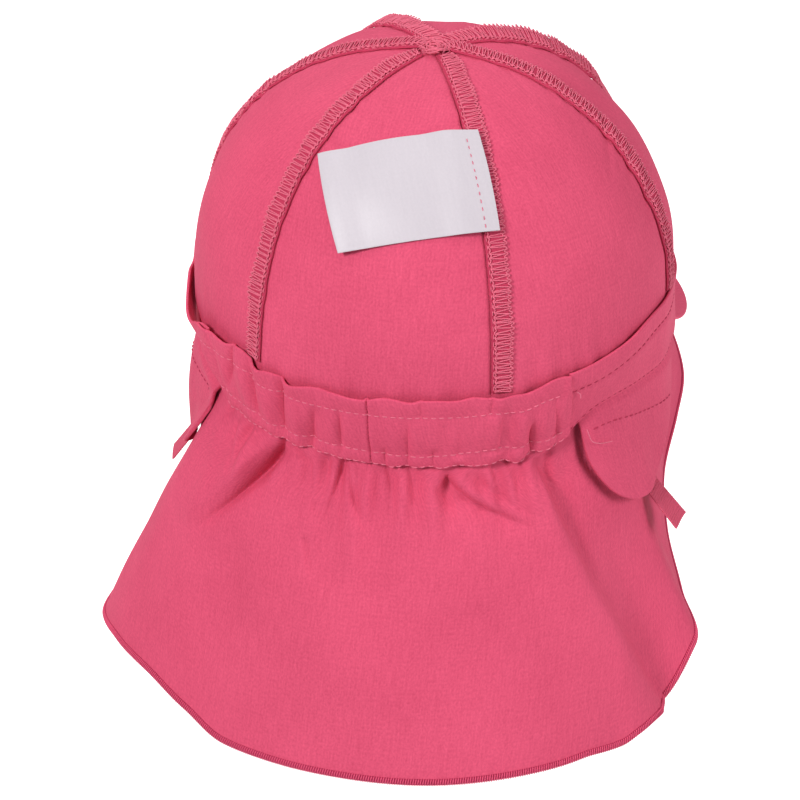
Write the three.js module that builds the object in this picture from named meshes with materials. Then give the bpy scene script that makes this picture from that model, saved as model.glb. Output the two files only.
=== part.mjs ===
// A baby's legionnaire cap, turned inside out: a crown of six gores with its overlocked seam
// allowances outside, a gathered back casing, a flat front band, a wide neck flap, two ear flaps
// with ribbon ends, a soft peak and a bare label. Millimetres, +Z up, front towards -Y.
import * as THREE from 'three';

// Angles are in degrees round the head from the back (+Y), positive towards the wearer's right (-X).
// Height zero is the widest level of the crown, just under the back band's upper edge.

// Head opening and crown
const HEAD_HALF_WIDTH = 71;
const HEAD_BACK_LENGTH = 72;
const HEAD_FRONT_LENGTH = 75;
const CROWN_HEIGHT = 75.5;
const CROWN_SIDE_POWER = 0.915; // below 1: steep sides
const CROWN_TOP_POWER = 0.845; // below 1: full shoulders
const CROWN_WALL = 1.2;
const CROWN_LOWER_EDGE = -6;
const PANEL_BULGE = 0.5;
const PANEL_GAP = 0.5;
const APEX_HOLE_RADIUS = 1.6;

// Seam allowances on the crown
const SEAM_WIDTH = 5.4;
const SEAM_WALL = 0.9;
const SEAM_CLEARANCE = 0.5;
const SEAM_END_CLEARANCE = 0.8;

// Band
const BAND_WALL = 1.4;
const BAND_CLEARANCE = 0.5;
const BAND_END_GAP = 0.35; // degrees between the casing and the front band
const CASING_HALF_ANGLE = 47;
const GATHERS = 13;
const CASING_GATHER_HEIGHT = 1.1;

// Neck flap
const FLAP_WALL = 1;
const FLAP_HALF_ANGLE = 112;
const FLAP_TUCK = 3.2;
const FLAP_CLEARANCE = 0.4;
const FLAP_GATHER_HEIGHT = 1.1;
const FLAP_ROW_POWER = 1.3; // over 1: rows of facets closer together near the rim
const FLAP_GATHER_SHARES = [0.05, 0.22]; // of the drop, where the gathers are fullest and where they end

// Ear flaps and their ribbon ends
const EAR_WALL = 1.6;
const EAR_STRAIGHT_SIDE = 0.22; // share of the drop before the rounded end begins
const EAR_ROUNDNESS = 2;
const EAR_TOP_GAP = 0.6;
const EAR_CLEARANCE = 1.2;
const RIBBON_WIDTH = 8;
const RIBBON_LENGTH = 17;
const RIBBON_WALL = 0.8;
const RIBBON_TUCK = 3.5;
const RIBBON_CLEARANCE = 0.8;

// Peak
const PEAK_WALL = 2.2;
const PEAK_HALF_ANGLE = 65;
const PEAK_DEPTH = 43;
const PEAK_END_DEPTH = 2;
const PEAK_ROUNDNESS = 2.9;
const PEAK_SLOPE = 22; // degrees down at the middle
const PEAK_SIDE_SLOPE = 60; // degrees down at the ends
const PEAK_TOP_GAP = 0.6;
const PEAK_SEAM_OFFSET = -0.2; // from the band's inner face

// Label
const LABEL_WIDTH = 46.8;
const LABEL_HEIGHT = 31;
const LABEL_WALL = 1;
const LABEL_ANGLE = 6.7;
const LABEL_RISE = 0.513;
const LABEL_TILT = 12.9;
const LABEL_SKEW = 5; // degrees that its sides lean from square
const LABEL_CLEARANCE = 0.8;
const LABEL_SEAM_LIFT = 1.5; // where it climbs over the seam allowance
const LABEL_SEAM_SHARES = [0.62, 0.82];
const LABEL_FREE_LIFT = 1.6; // at its free end
const LABEL_FREE_SHARE = 0.25;

// Seams in order round the head: the way the allowance lies, the radius where it starts below the
// top of the crown, and how far its free edge stands up.
const SEAMS = [
  { name: 'back_right', angle: 28, side: 1, start: 7, stand: 0 },
  { name: 'right', angle: 88, side: 1, start: 7, stand: 0.4 },
  { name: 'front_right', angle: 138, side: 1, start: 10, stand: 2.2 },
  { name: 'front_left', angle: 222, side: -1, start: 10, stand: 2.2 },
  { name: 'left', angle: 272, side: -1, start: 7, stand: 0 },
  { name: 'back_left', angle: 332, side: -1, start: 7, stand: 0 },
];

// Each panel starts at the seam of the same place in the list above.
const PANEL_NAMES = ['back_right', 'front_right', 'front', 'front_left', 'back_left', 'back'];

// Upper edge and rim (lower edge) of the band, and how far its upper edge stands off the crown.
const BAND = [
  { angle: -180, top: 7, rim: -13, stand: 0 },
  { angle: -120, top: 6, rim: -13, stand: 0.4 },
  { angle: -100, top: 5, rim: -13, stand: 2 },
  { angle: -92, top: 5.5, rim: -13.5, stand: 3 },
  { angle: -82, top: 2.5, rim: -14, stand: 1.2 },
  { angle: -75, top: 3.6, rim: -15, stand: 0.6 },
  { angle: -66, top: 1.2, rim: -17, stand: 1.4 },
  { angle: -58, top: -0.6, rim: -19, stand: 2.4 },
  { angle: -49, top: 3.6, rim: -20.8, stand: 1.6 },
  { angle: -41, top: 3.9, rim: -22, stand: 0.7 },
  { angle: -34, top: 4.4, rim: -22.4, stand: 0.3 },
  { angle: -27, top: 1, rim: -22.5, stand: 0 },
  { angle: 0, top: 1.8, rim: -22.5, stand: 0 },
  { angle: 28, top: 2.6, rim: -22.5, stand: 0 },
  { angle: 35, top: 1.6, rim: -22.5, stand: 0 },
  { angle: 42, top: 4.2, rim: -21.6, stand: 0 },
  { angle: 48, top: 4.5, rim: -19, stand: 0 },
  { angle: 52, top: 4.6, rim: -15.4, stand: 0 },
  { angle: 57, top: 5, rim: -12.6, stand: 0 },
  { angle: 62, top: 5.7, rim: -12, stand: 0 },
  { angle: 72, top: 7.7, rim: -12.8, stand: 0 },
  { angle: 82, top: 8.4, rim: -13.6, stand: 0 },
  { angle: 92, top: 7.8, rim: -13.8, stand: 0 },
  { angle: 112, top: 7, rim: -13.4, stand: 0 },
  { angle: 180, top: 7, rim: -13, stand: 0 },
];

// How far the band draws in for each millimetre below the widest level.
const BAND_LEAN = [
  { angle: -180, lean: 0.1 },
  { angle: -110, lean: 0.1 },
  { angle: -75, lean: 0.15 },
  { angle: -55, lean: 0.205 },
  { angle: 55, lean: 0.205 },
  { angle: 75, lean: 0.12 },
  { angle: 88, lean: -0.01 },
  { angle: 108, lean: -0.02 },
  { angle: 122, lean: 0.1 },
  { angle: 180, lean: 0.1 },
];

// Sections of the neck flap: how far the hem hangs below the rim and reaches outwards from it,
// and the power of the curve between the two, over 1 where the flap hangs straight before it flares.
const NECK_FLAP = [
  { angle: -112, drop: 6, reach: 2.5, curve: 1 },
  { angle: -106, drop: 24, reach: 5, curve: 1.2 },
  { angle: -100, drop: 42, reach: 5.5, curve: 1.6 },
  { angle: -90, drop: 68, reach: 13, curve: 2.5 },
  { angle: -80, drop: 85, reach: 24, curve: 2.6 },
  { angle: -72, drop: 90.8, reach: 31, curve: 2.1 },
  { angle: -62, drop: 88, reach: 36.6, curve: 1.12 },
  { angle: -52, drop: 82, reach: 36.8, curve: 0.92 },
  { angle: -40, drop: 79, reach: 37.1, curve: 0.95 },
  { angle: -30, drop: 81.5, reach: 37.6, curve: 1 },
  { angle: -20, drop: 84.4, reach: 38.9, curve: 1 },
  { angle: 20, drop: 85, reach: 38.2, curve: 1 },
  { angle: 40, drop: 85, reach: 36.6, curve: 1.05 },
  { angle: 50, drop: 90.2, reach: 34.5, curve: 1.15 },
  { angle: 60, drop: 94.2, reach: 29.2, curve: 1.5 },
  { angle: 70, drop: 80.9, reach: 27.4, curve: 2 },
  { angle: 78, drop: 72.8, reach: 14.8, curve: 2.4 },
  { angle: 86, drop: 59.2, reach: 5, curve: 2.4 },
  { angle: 94, drop: 43.8, reach: 1.2, curve: 1.8 },
  { angle: 101, drop: 30.2, reach: 3.6, curve: 1.2 },
  { angle: 106, drop: 20.4, reach: 5.3, curve: 1 },
  { angle: 112, drop: 6, reach: 2, curve: 1 },
];

// Folds of the neck flap: their angles at both ends, the shares of the drop where they start and
// end, their half width in degrees and their height, negative for a crease.
const FOLDS = [
  { startAngle: -21, endAngle: -43, start: 0.02, end: 0.5, width: 2.6, height: -4 },
  { startAngle: -30, endAngle: -52, start: 0.02, end: 0.6, width: 5, height: 1.6 },
  { startAngle: -12, endAngle: -13, start: 0, end: 0.3, width: 2.4, height: -1.6 },
  { startAngle: -6, endAngle: -1, start: 0, end: 0.4, width: 2.2, height: 1.4 },
  { startAngle: 21, endAngle: 34, start: 0.05, end: 0.35, width: 2.4, height: -1.6 },
  { startAngle: 37, endAngle: 57, start: 0.05, end: 1.1, width: 5, height: 2.2 },
  { startAngle: 47, endAngle: 68, start: 0.15, end: 1.1, width: 5, height: -2 },
  { startAngle: -58, endAngle: -76, start: 0, end: 0.75, width: 7, height: -5.5 },
];

// Ear flaps: the angle of their middle and half the angle they span at the rim, how far the lower
// end is swept round, drop, bulge of the middle, lift of the lower end, and how far the ribbon end
// turns from hanging straight down.
const EARS = [
  { name: 'left', centre: -73, half: 21, sweep: -6, drop: 37, bulge: 3.2, lift: 1.5, turn: 30 },
  { name: 'right', centre: 72, half: 20, sweep: 3, drop: 33.6, bulge: 0.3, lift: 3, turn: 47 },
];

// Facets of each kind of piece, across and along it.
const FACETS = {
  panel: { across: 9, along: 11 },
  seam: { across: 1, along: 12 },
  casing: { across: 5 * GATHERS, along: 4 },
  frontBand: { across: 48, along: 3 },
  flap: { back: 65, side: 20, along: 9 },
  ear: { across: 12, along: 5 },
  ribbon: { across: 1, along: 5 },
  peak: { across: 24, along: 6 },
  label: { across: 12, along: 6 },
};

const FINISHES = {
  cotton: { color: 0xe0587c, roughness: 0.9 },
  seam: { color: 0xd64c72, roughness: 0.85 },
  ribbon: { color: 0xd94f74, roughness: 0.7 },
  label: { color: 0xf4f2f3, roughness: 0.5 },
};

const SLOPE_STEP = 1e-3; // small step for measuring a surface's slope

const rad = THREE.MathUtils.degToRad;
const deg = THREE.MathUtils.radToDeg;
const lerp = THREE.MathUtils.lerp;
const clamp = THREE.MathUtils.clamp;
const smoothstep = THREE.MathUtils.smoothstep;

// A smooth curve through one column of a table, without overshoot, level beyond the table's ends.
function tableCurve(rows, key, column) {
  const x = rows.map((row) => row[key]);
  const y = rows.map((row) => row[column]);
  const last = rows.length - 1;
  const rate = (i) => (y[i + 1] - y[i]) / (x[i + 1] - x[i]);
  const tangent = (i) => {
    if (i === 0 || i === last || rate(i - 1) * rate(i) <= 0) {
      return 0;
    }
    return (2 * rate(i - 1) * rate(i)) / (rate(i - 1) + rate(i));
  };
  return (at) => {
    const place = clamp(at, x[0], x[last]);
    let i = 0;
    while (i < last - 1 && place > x[i + 1]) {
      i += 1;
    }
    const span = x[i + 1] - x[i];
    const t = (place - x[i]) / span;
    const blend = t * t * (3 - 2 * t);
    const bend = t * (1 - t) * span * ((1 - t) * tangent(i) - t * tangent(i + 1));
    return lerp(y[i], y[i + 1], blend) + bend;
  };
}

const bandTop = tableCurve(BAND, 'angle', 'top');
const bandRim = tableCurve(BAND, 'angle', 'rim');
const bandStand = tableCurve(BAND, 'angle', 'stand');
const bandLean = tableCurve(BAND_LEAN, 'angle', 'lean');
const flapDrop = tableCurve(NECK_FLAP, 'angle', 'drop');
const flapReach = tableCurve(NECK_FLAP, 'angle', 'reach');
const flapCurve = tableCurve(NECK_FLAP, 'angle', 'curve');

// The same angle between -180 and 180.
function wrapped(angle) {
  return THREE.MathUtils.euclideanModulo(angle + 180, 360) - 180;
}

// A point at an angle round the head, a distance from its axis and a height.
function around(angle, radius, height) {
  return new THREE.Vector3(-radius * Math.sin(rad(angle)), radius * Math.cos(rad(angle)), height);
}

function headRadius(angle) {
  const across = Math.sin(rad(angle)) / HEAD_HALF_WIDTH;
  const towardsBack = Math.cos(rad(angle));
  const length = towardsBack > 0 ? HEAD_BACK_LENGTH : HEAD_FRONT_LENGTH;
  return 1 / Math.hypot(across, towardsBack / length);
}

// The band's inner face, which the crown's lower wall and the flap's top lie against.
function bandInnerRadius(angle, height) {
  return headRadius(angle) + BAND_CLEARANCE + bandLean(wrapped(angle)) * Math.min(height, 0);
}

// The dome's section: its share of the head's radius and its height at a rise from 0, the widest
// level, to 1, the top.
function domeShare(rise) {
  return Math.cos((rise * Math.PI) / 2) ** CROWN_SIDE_POWER;
}

function domeHeight(rise) {
  return CROWN_HEIGHT * Math.sin((rise * Math.PI) / 2) ** CROWN_TOP_POWER;
}

function riseAtRadius(angle, radius) {
  return (Math.acos((radius / headRadius(angle)) ** (1 / CROWN_SIDE_POWER)) * 2) / Math.PI;
}

function riseAtHeight(height) {
  return (Math.asin((height / CROWN_HEIGHT) ** (1 / CROWN_TOP_POWER)) * 2) / Math.PI;
}

// How far the panel under an angle swells between its two seams.
function panelSwell(angle, rise) {
  const turned = THREE.MathUtils.euclideanModulo(angle - SEAMS[0].angle, 360) + SEAMS[0].angle;
  const index = SEAMS.findLastIndex((seam) => seam.angle <= turned);
  const start = SEAMS[index].angle;
  const end = index + 1 < SEAMS.length ? SEAMS[index + 1].angle : SEAMS[0].angle + 360;
  const share = (turned - start) / (end - start);
  return PANEL_BULGE * Math.sin(Math.PI * share) * Math.sin(Math.PI * rise);
}

// A point of the crown's outer face, lifted along its normal.
function crownPoint(angle, rise, lift) {
  const low = Math.max(rise - SLOPE_STEP, 0);
  const high = Math.min(rise + SLOPE_STEP, 1);
  const outwards = domeHeight(high) - domeHeight(low);
  const upwards = headRadius(angle) * (domeShare(low) - domeShare(high));
  const length = Math.hypot(outwards, upwards);
  const distance = lift + panelSwell(angle, rise);
  const radius = headRadius(angle) * domeShare(rise) + (distance * outwards) / length;
  return around(angle, radius, domeHeight(rise) + (distance * upwards) / length);
}

// A point of the crown's short wall below the widest level.
function crownWallPoint(angle, height, lift) {
  return around(angle, headRadius(angle) + bandLean(wrapped(angle)) * height + lift, height);
}

// A closed sheet between two faces given over 0 to 1 both ways, with walls round its edge.
function sheetGeometry(outer, inner, across, along) {
  const positions = [];
  const indices = [];
  const columns = across + 1;
  const layer = columns * (along + 1);
  for (const face of [outer, inner]) {
    for (let row = 0; row <= along; row += 1) {
      for (let column = 0; column <= across; column += 1) {
        positions.push(...face(column / across, row / along).toArray());
      }
    }
  }
  const quad = (a, b, c, d) => indices.push(a, b, c, a, c, d);
  for (let row = 0; row < along; row += 1) {
    for (let column = 0; column < across; column += 1) {
      const a = row * columns + column;
      quad(a, a + 1, a + columns + 1, a + columns);
      quad(layer + a, layer + a + columns, layer + a + columns + 1, layer + a + 1);
    }
  }
  const wall = (a, b) => quad(a, a + layer, b + layer, b);
  for (let column = 0; column < across; column += 1) {
    const end = along * columns + column;
    wall(column, column + 1);
    wall(end + 1, end);
  }
  for (let row = 0; row < along; row += 1) {
    const start = row * columns;
    wall(start + columns, start);
    wall(start + across, start + columns + across);
  }
  if (signedVolume(positions, indices) < 0) {
    indices.reverse();
  }
  const geometry = new THREE.BufferGeometry();
  geometry.setAttribute('position', new THREE.Float32BufferAttribute(positions, 3));
  geometry.setIndex(indices);
  geometry.computeVertexNormals();
  return geometry;
}

function signedVolume(positions, indices) {
  const corner = (i) => new THREE.Vector3().fromArray(positions, 3 * indices[i]);
  let volume = 0;
  for (let i = 0; i < indices.length; i += 3) {
    volume += corner(i).dot(corner(i + 1).cross(corner(i + 2))) / 6;
  }
  return volume;
}

// The face that lies a wall's thickness behind a surface, on the side away from a direction.
function backFace(surface, wall, facing) {
  return (u, v) => {
    const point = surface(u, v);
    const slope = (du, dv) => {
      const ahead = surface(clamp(u + du, 0, 1), clamp(v + dv, 0, 1));
      return ahead.sub(surface(clamp(u - du, 0, 1), clamp(v - dv, 0, 1)));
    };
    const normal = slope(SLOPE_STEP, 0).cross(slope(0, SLOPE_STEP)).normalize();
    const turned = normal.dot(facing(point)) < 0 ? 1 : -1;
    return point.addScaledVector(normal, turned * wall);
  };
}

const outwards = (point) => new THREE.Vector3(point.x, point.y, 0);
const upwards = () => new THREE.Vector3(0, 0, 1);

const cap = new THREE.Group();

function addPart(name, geometry, finish = FINISHES.cotton) {
  const mesh = new THREE.Mesh(geometry, new THREE.MeshStandardMaterial({ ...finish, metalness: 0 }));
  mesh.name = name;
  cap.add(mesh);
}

// Crown panels, from a short wall inside the band up to the small hole at the top
function panelGeometry(seam, nextAngle) {
  const { across, along } = FACETS.panel;
  const wallShare = 1 / along;
  const topRise = riseAtRadius(seam.angle, APEX_HOLE_RADIUS);
  const face = (lift) => (u, v) => {
    const rise = (topRise * Math.max(v - wallShare, 0)) / (1 - wallShare);
    const radius = headRadius(seam.angle) * domeShare(rise);
    const margin = deg(Math.asin(PANEL_GAP / 2 / radius));
    const angle = lerp(seam.angle + margin, nextAngle - margin, u);
    if (v < wallShare) {
      return crownWallPoint(angle, CROWN_LOWER_EDGE * (1 - v / wallShare), lift);
    }
    return crownPoint(angle, rise, lift);
  };
  return sheetGeometry(face(0), face(-CROWN_WALL), across, along);
}

SEAMS.forEach((seam, index) => {
  const nextAngle = index + 1 < SEAMS.length ? SEAMS[index + 1].angle : SEAMS[0].angle + 360;
  addPart(`crown_panel_${PANEL_NAMES[index]}`, panelGeometry(seam, nextAngle));
});

// Seam allowances, each lying on the panel at one side of its seam
function seamGeometry(seam) {
  const { across, along } = FACETS.seam;
  const topRise = riseAtRadius(seam.angle, seam.start);
  const face = (depth) => (u, v) => {
    const lowAngle = seam.angle + seam.side * deg((u * SEAM_WIDTH) / headRadius(seam.angle));
    const lowRise = riseAtHeight(bandTop(wrapped(lowAngle)) + SEAM_END_CLEARANCE);
    const rise = lerp(lowRise, topRise, v);
    const radius = headRadius(seam.angle) * domeShare(rise);
    const angle = seam.angle + seam.side * deg((PANEL_GAP / 2 + u * SEAM_WIDTH) / radius);
    return crownPoint(angle, rise, SEAM_CLEARANCE + depth + u * seam.stand);
  };
  return sheetGeometry(face(SEAM_WALL), face(0), across, along);
}

SEAMS.forEach((seam) => {
  addPart(`crown_seam_${seam.name}`, seamGeometry(seam), FINISHES.seam);
});

// Band: a point of its faces at a share of the way from the rim to its upper edge
function bandPoint(angle, share, depth) {
  const place = wrapped(angle);
  const height = lerp(bandRim(place), bandTop(place), share);
  const stand = bandStand(place) * share * share;
  return around(angle, bandInnerRadius(angle, height) + stand + depth, height);
}

function casingGather(angle) {
  return 0.5 - 0.5 * Math.cos((Math.PI * GATHERS * (angle + CASING_HALF_ANGLE)) / CASING_HALF_ANGLE);
}

function casingGeometry() {
  const { across, along } = FACETS.casing;
  const angleAt = (u) => lerp(-CASING_HALF_ANGLE, CASING_HALF_ANGLE, u);
  const outer = (u, v) => {
    const gather = CASING_GATHER_HEIGHT * casingGather(angleAt(u));
    return bandPoint(angleAt(u), v, BAND_WALL + gather);
  };
  const inner = (u, v) => bandPoint(angleAt(u), v, 0);
  return sheetGeometry(outer, inner, across, along);
}

function frontBandGeometry() {
  const { across, along } = FACETS.frontBand;
  const start = CASING_HALF_ANGLE + BAND_END_GAP;
  const face = (depth) => (u, v) => bandPoint(lerp(start, 360 - start, u), v, depth);
  return sheetGeometry(face(BAND_WALL), face(0), across, along);
}

addPart('band_back_casing', casingGeometry());
addPart('band_front', frontBandGeometry());

// Neck flap: radius of its outer face at a drop below the rim, without gathers and folds
function flapRadius(angle, drop) {
  const base = bandInnerRadius(angle, bandRim(angle)) - FLAP_CLEARANCE;
  const share = clamp(drop / flapDrop(angle), 0, 1);
  return base + flapReach(angle) * share ** flapCurve(angle);
}

function foldHeight(angle, share) {
  let height = 0;
  for (const fold of FOLDS) {
    const along = (share - fold.start) / (fold.end - fold.start);
    if (along > 0 && along < 1) {
      const offset = (angle - lerp(fold.startAngle, fold.endAngle, along)) / fold.width;
      height += fold.height * Math.sin(Math.PI * Math.sqrt(along)) * Math.exp(-offset * offset);
    }
  }
  return height;
}

function flapGather(angle, share) {
  if (Math.abs(angle) > CASING_HALF_ANGLE) {
    return 0;
  }
  const [fullest, end] = FLAP_GATHER_SHARES;
  const strength = smoothstep(share, 0, fullest) * (1 - smoothstep(share, fullest, end));
  return FLAP_GATHER_HEIGHT * strength * (1 - 2 * casingGather(angle));
}

function flapGeometry() {
  const { back, side, along } = FACETS.flap;
  const across = back + 2 * side;
  const angleAt = (u) => {
    const column = u * across;
    if (column < side) {
      return lerp(-FLAP_HALF_ANGLE, -CASING_HALF_ANGLE, column / side);
    }
    if (column > side + back) {
      return lerp(CASING_HALF_ANGLE, FLAP_HALF_ANGLE, (column - side - back) / side);
    }
    return lerp(-CASING_HALF_ANGLE, CASING_HALF_ANGLE, (column - side) / back);
  };
  const tuckShare = 1 / along;
  const outer = (u, v) => {
    const angle = angleAt(u);
    const rim = bandRim(angle);
    if (v < tuckShare) {
      const height = rim + FLAP_TUCK * (1 - v / tuckShare);
      return around(angle, bandInnerRadius(angle, height) - FLAP_CLEARANCE, height);
    }
    const share = ((v - tuckShare) / (1 - tuckShare)) ** FLAP_ROW_POWER;
    const drop = share * flapDrop(angle);
    const relief = foldHeight(angle, share) + flapGather(angle, share);
    return around(angle, flapRadius(angle, drop) + relief, rim - drop);
  };
  return sheetGeometry(outer, backFace(outer, FLAP_WALL, outwards), across, along);
}

addPart('neck_flap', flapGeometry());

// Ear flaps: rounded double layers that hang from the rim over the neck flap. A place on one is a
// share of its half span, from -1 to 1, and a drop below the rim.
function earAngle(ear, spread, drop) {
  return ear.centre + (ear.sweep * drop) / ear.drop + ear.half * spread;
}

function earInnerRadius(ear, spread, drop) {
  const angle = earAngle(ear, spread, drop);
  const share = clamp(drop / ear.drop, 0, 1);
  const overFlap = flapRadius(angle, drop) + foldHeight(angle, drop / flapDrop(angle)) + EAR_CLEARANCE;
  const bulge = ear.bulge * Math.sin(Math.PI * share) * (1 - spread * spread);
  const rimRadius = bandInnerRadius(angle, bandRim(angle));
  return Math.max(rimRadius, overFlap + ear.lift * share * share) + bulge;
}

function earGeometry(ear) {
  const { across, along } = FACETS.ear;
  const face = (depth) => (u, v) => {
    const spread = Math.sin((u - 0.5) * Math.PI);
    const rounded = (1 - Math.abs(spread) ** EAR_ROUNDNESS) ** (1 / EAR_ROUNDNESS);
    const drop = lerp(EAR_TOP_GAP, ear.drop * lerp(EAR_STRAIGHT_SIDE, 1, rounded), v);
    const angle = earAngle(ear, spread, drop);
    return around(angle, earInnerRadius(ear, spread, drop) + depth, bandRim(angle) - drop);
  };
  return sheetGeometry(face(EAR_WALL), face(0), across, along);
}

// Ribbon ends: tucked behind the ear flap's round end, then turning outwards
function ribbonGeometry(ear) {
  const { across, along } = FACETS.ribbon;
  const middle = earAngle(ear, 0, ear.drop);
  const rim = bandRim(middle);
  const startDrop = ear.drop - RIBBON_TUCK;
  const turnDrop = ear.drop + RIBBON_CLEARANCE + RIBBON_WALL;
  const tuckShare = 1 / along;
  const outer = (u, v) => {
    const spread = deg(((u - 0.5) * RIBBON_WIDTH) / headRadius(middle)) / ear.half;
    const angle = middle + ear.half * spread;
    const turnRadius = earInnerRadius(ear, spread, ear.drop) - RIBBON_CLEARANCE;
    if (v <= tuckShare) {
      const share = v / tuckShare;
      const startRadius = earInnerRadius(ear, spread, startDrop) - RIBBON_CLEARANCE;
      return around(angle, lerp(startRadius, turnRadius, share), rim - lerp(startDrop, turnDrop, share));
    }
    const length = ((RIBBON_LENGTH - RIBBON_TUCK) * (v - tuckShare)) / (1 - tuckShare);
    const radius = turnRadius + length * Math.sin(rad(ear.turn));
    return around(angle, radius, rim - turnDrop - length * Math.cos(rad(ear.turn)));
  };
  return sheetGeometry(outer, backFace(outer, RIBBON_WALL, outwards), across, along);
}

for (const ear of EARS) {
  addPart(`ear_flap_${ear.name}`, earGeometry(ear));
  addPart(`tie_ribbon_${ear.name}`, ribbonGeometry(ear), FINISHES.ribbon);
}

// Peak: a crescent below the front of the rim that slopes more towards its ends
function peakGeometry() {
  const { across, along } = FACETS.peak;
  const outer = (u, v) => {
    const spread = 2 * u - 1;
    const angle = 180 + PEAK_HALF_ANGLE * spread;
    const rim = bandRim(wrapped(angle));
    const depth = lerp(PEAK_DEPTH, PEAK_END_DEPTH, Math.abs(spread) ** PEAK_ROUNDNESS);
    const slope = rad(lerp(PEAK_SLOPE, PEAK_SIDE_SLOPE, spread * spread));
    const out = bandInnerRadius(angle, rim) + PEAK_SEAM_OFFSET + v * depth * Math.cos(slope);
    return around(angle, out, rim - PEAK_TOP_GAP - v * depth * Math.sin(slope));
  };
  return sheetGeometry(outer, backFace(outer, PEAK_WALL, upwards), across, along);
}

addPart('peak', peakGeometry());

// Label: laid on the crown across the right back seam, with its other end lifting
function labelGeometry() {
  const { across, along } = FACETS.label;
  const centre = crownPoint(LABEL_ANGLE, LABEL_RISE, 0);
  const sideways = new THREE.Vector3(-Math.cos(rad(LABEL_ANGLE)), -Math.sin(rad(LABEL_ANGLE)), 0);
  const uphill = crownPoint(LABEL_ANGLE, LABEL_RISE + SLOPE_STEP, 0).sub(centre).normalize();
  const alongWidth = sideways.clone().multiplyScalar(Math.cos(rad(LABEL_TILT)));
  alongWidth.addScaledVector(uphill, Math.sin(rad(LABEL_TILT)));
  const heightTilt = rad(LABEL_TILT + LABEL_SKEW);
  const alongHeight = uphill.clone().multiplyScalar(Math.cos(heightTilt));
  alongHeight.addScaledVector(sideways, -Math.sin(heightTilt));
  const face = (depth) => (u, v) => {
    const flat = centre.clone();
    flat.addScaledVector(alongWidth, (u - 0.5) * LABEL_WIDTH);
    flat.addScaledVector(alongHeight, (v - 0.5) * LABEL_HEIGHT);
    const angle = deg(Math.atan2(-flat.x, flat.y));
    const rise = riseTowards(angle, flat.z / Math.hypot(flat.x, flat.y));
    const overSeam = LABEL_SEAM_LIFT * smoothstep(u, ...LABEL_SEAM_SHARES);
    const freeEnd = LABEL_FREE_LIFT * (1 - smoothstep(u, 0, LABEL_FREE_SHARE));
    return crownPoint(angle, rise, LABEL_CLEARANCE + overSeam + freeEnd + depth);
  };
  return sheetGeometry(face(LABEL_WALL), face(0), across, along);
}

// The rise of the dome's point that lies in a direction of a given steepness from the origin.
function riseTowards(angle, steepness) {
  let low = 0;
  let high = 1;
  for (let i = 0; i < 40; i += 1) {
    const middle = (low + high) / 2;
    if (domeHeight(middle) < steepness * headRadius(angle) * domeShare(middle)) {
      low = middle;
    } else {
      high = middle;
    }
  }
  return (low + high) / 2;
}

addPart('label', labelGeometry(), FINISHES.label);

export default cap;
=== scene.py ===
"""A baby's legionnaire cap, turned inside out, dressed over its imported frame.

Lengths are in millimetres until a mesh is made. Angles are in degrees round the head from the back
(+Y), positive towards the wearer's right (-X). Height zero is the widest level of the crown.
"""
import math

import bpy
import numpy as np
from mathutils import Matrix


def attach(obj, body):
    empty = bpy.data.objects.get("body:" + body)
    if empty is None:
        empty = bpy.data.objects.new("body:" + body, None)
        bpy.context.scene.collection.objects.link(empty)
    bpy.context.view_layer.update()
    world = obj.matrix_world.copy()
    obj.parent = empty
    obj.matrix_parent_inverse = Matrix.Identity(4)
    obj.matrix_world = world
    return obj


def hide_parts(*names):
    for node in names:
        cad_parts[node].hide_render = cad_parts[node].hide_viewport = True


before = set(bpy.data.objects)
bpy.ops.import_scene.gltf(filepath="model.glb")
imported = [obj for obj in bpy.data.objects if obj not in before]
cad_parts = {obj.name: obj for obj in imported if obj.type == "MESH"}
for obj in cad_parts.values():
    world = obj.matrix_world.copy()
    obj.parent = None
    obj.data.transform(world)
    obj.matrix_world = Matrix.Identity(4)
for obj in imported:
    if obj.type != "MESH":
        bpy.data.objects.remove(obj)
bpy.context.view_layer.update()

MM = 0.001
UV_NAME = "cloth_mm"
STEP = 1e-3  # small step for measuring a surface's slope

# Head opening and crown
HEAD_HALF_WIDTH = 71
HEAD_BACK_LENGTH = 72
HEAD_FRONT_LENGTH = 75
CROWN_HEIGHT = 75.5
CROWN_SIDE_POWER = 0.915
CROWN_TOP_POWER = 0.845
CROWN_WALL = 0.6
CROWN_LOWER_EDGE = -6
PANEL_BULGE = 0.5
PANEL_MARGIN = -0.05  # negative, so that neighbouring panels overlap a little
APEX_HOLE_RADIUS = 1.6

# Fine relief of the crown: heights, and the lengths over which they fade
SEAM_DITCH = 0.4
SEAM_DITCH_WIDTH = 0.6
SEAM_PUCKER = 0.3
SEAM_PUCKER_FADE = 7
CROWN_SWAY = 0.3
CROWN_SWAY_STRETCH = 1.3
CROWN_GATHERS = 0.42
CROWN_GATHER_FADE = 8

# Seam allowances
SEAM_WIDTH = 5.4
SEAM_LENGTH = 95
SEAM_WALL = 0.55
SEAM_LIFT = 0.42
SEAM_TOP_LIFT = 0.7  # of the two side seams, which pass over the others at the top
SEAM_END_CLEARANCE = 0.4
SEAM_CHAIN = 0.95  # distance of the looper's chain from the seam
RUNG_PITCH = 1.5
RUNG_START = 0.85
RUNG_SPAN = 4.6
RUNG_LEAN = 0.9
RUNG_GAP = 0.12  # between the two bars of a pair and the pair's middle
THREAD_RADIUS = 0.18
THREAD_TAPER = 0.45  # size of a thread's ends
SLOPE_STEPS = (0.05, 0.004)  # steps in the two values of a surface for measuring its normal

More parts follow.
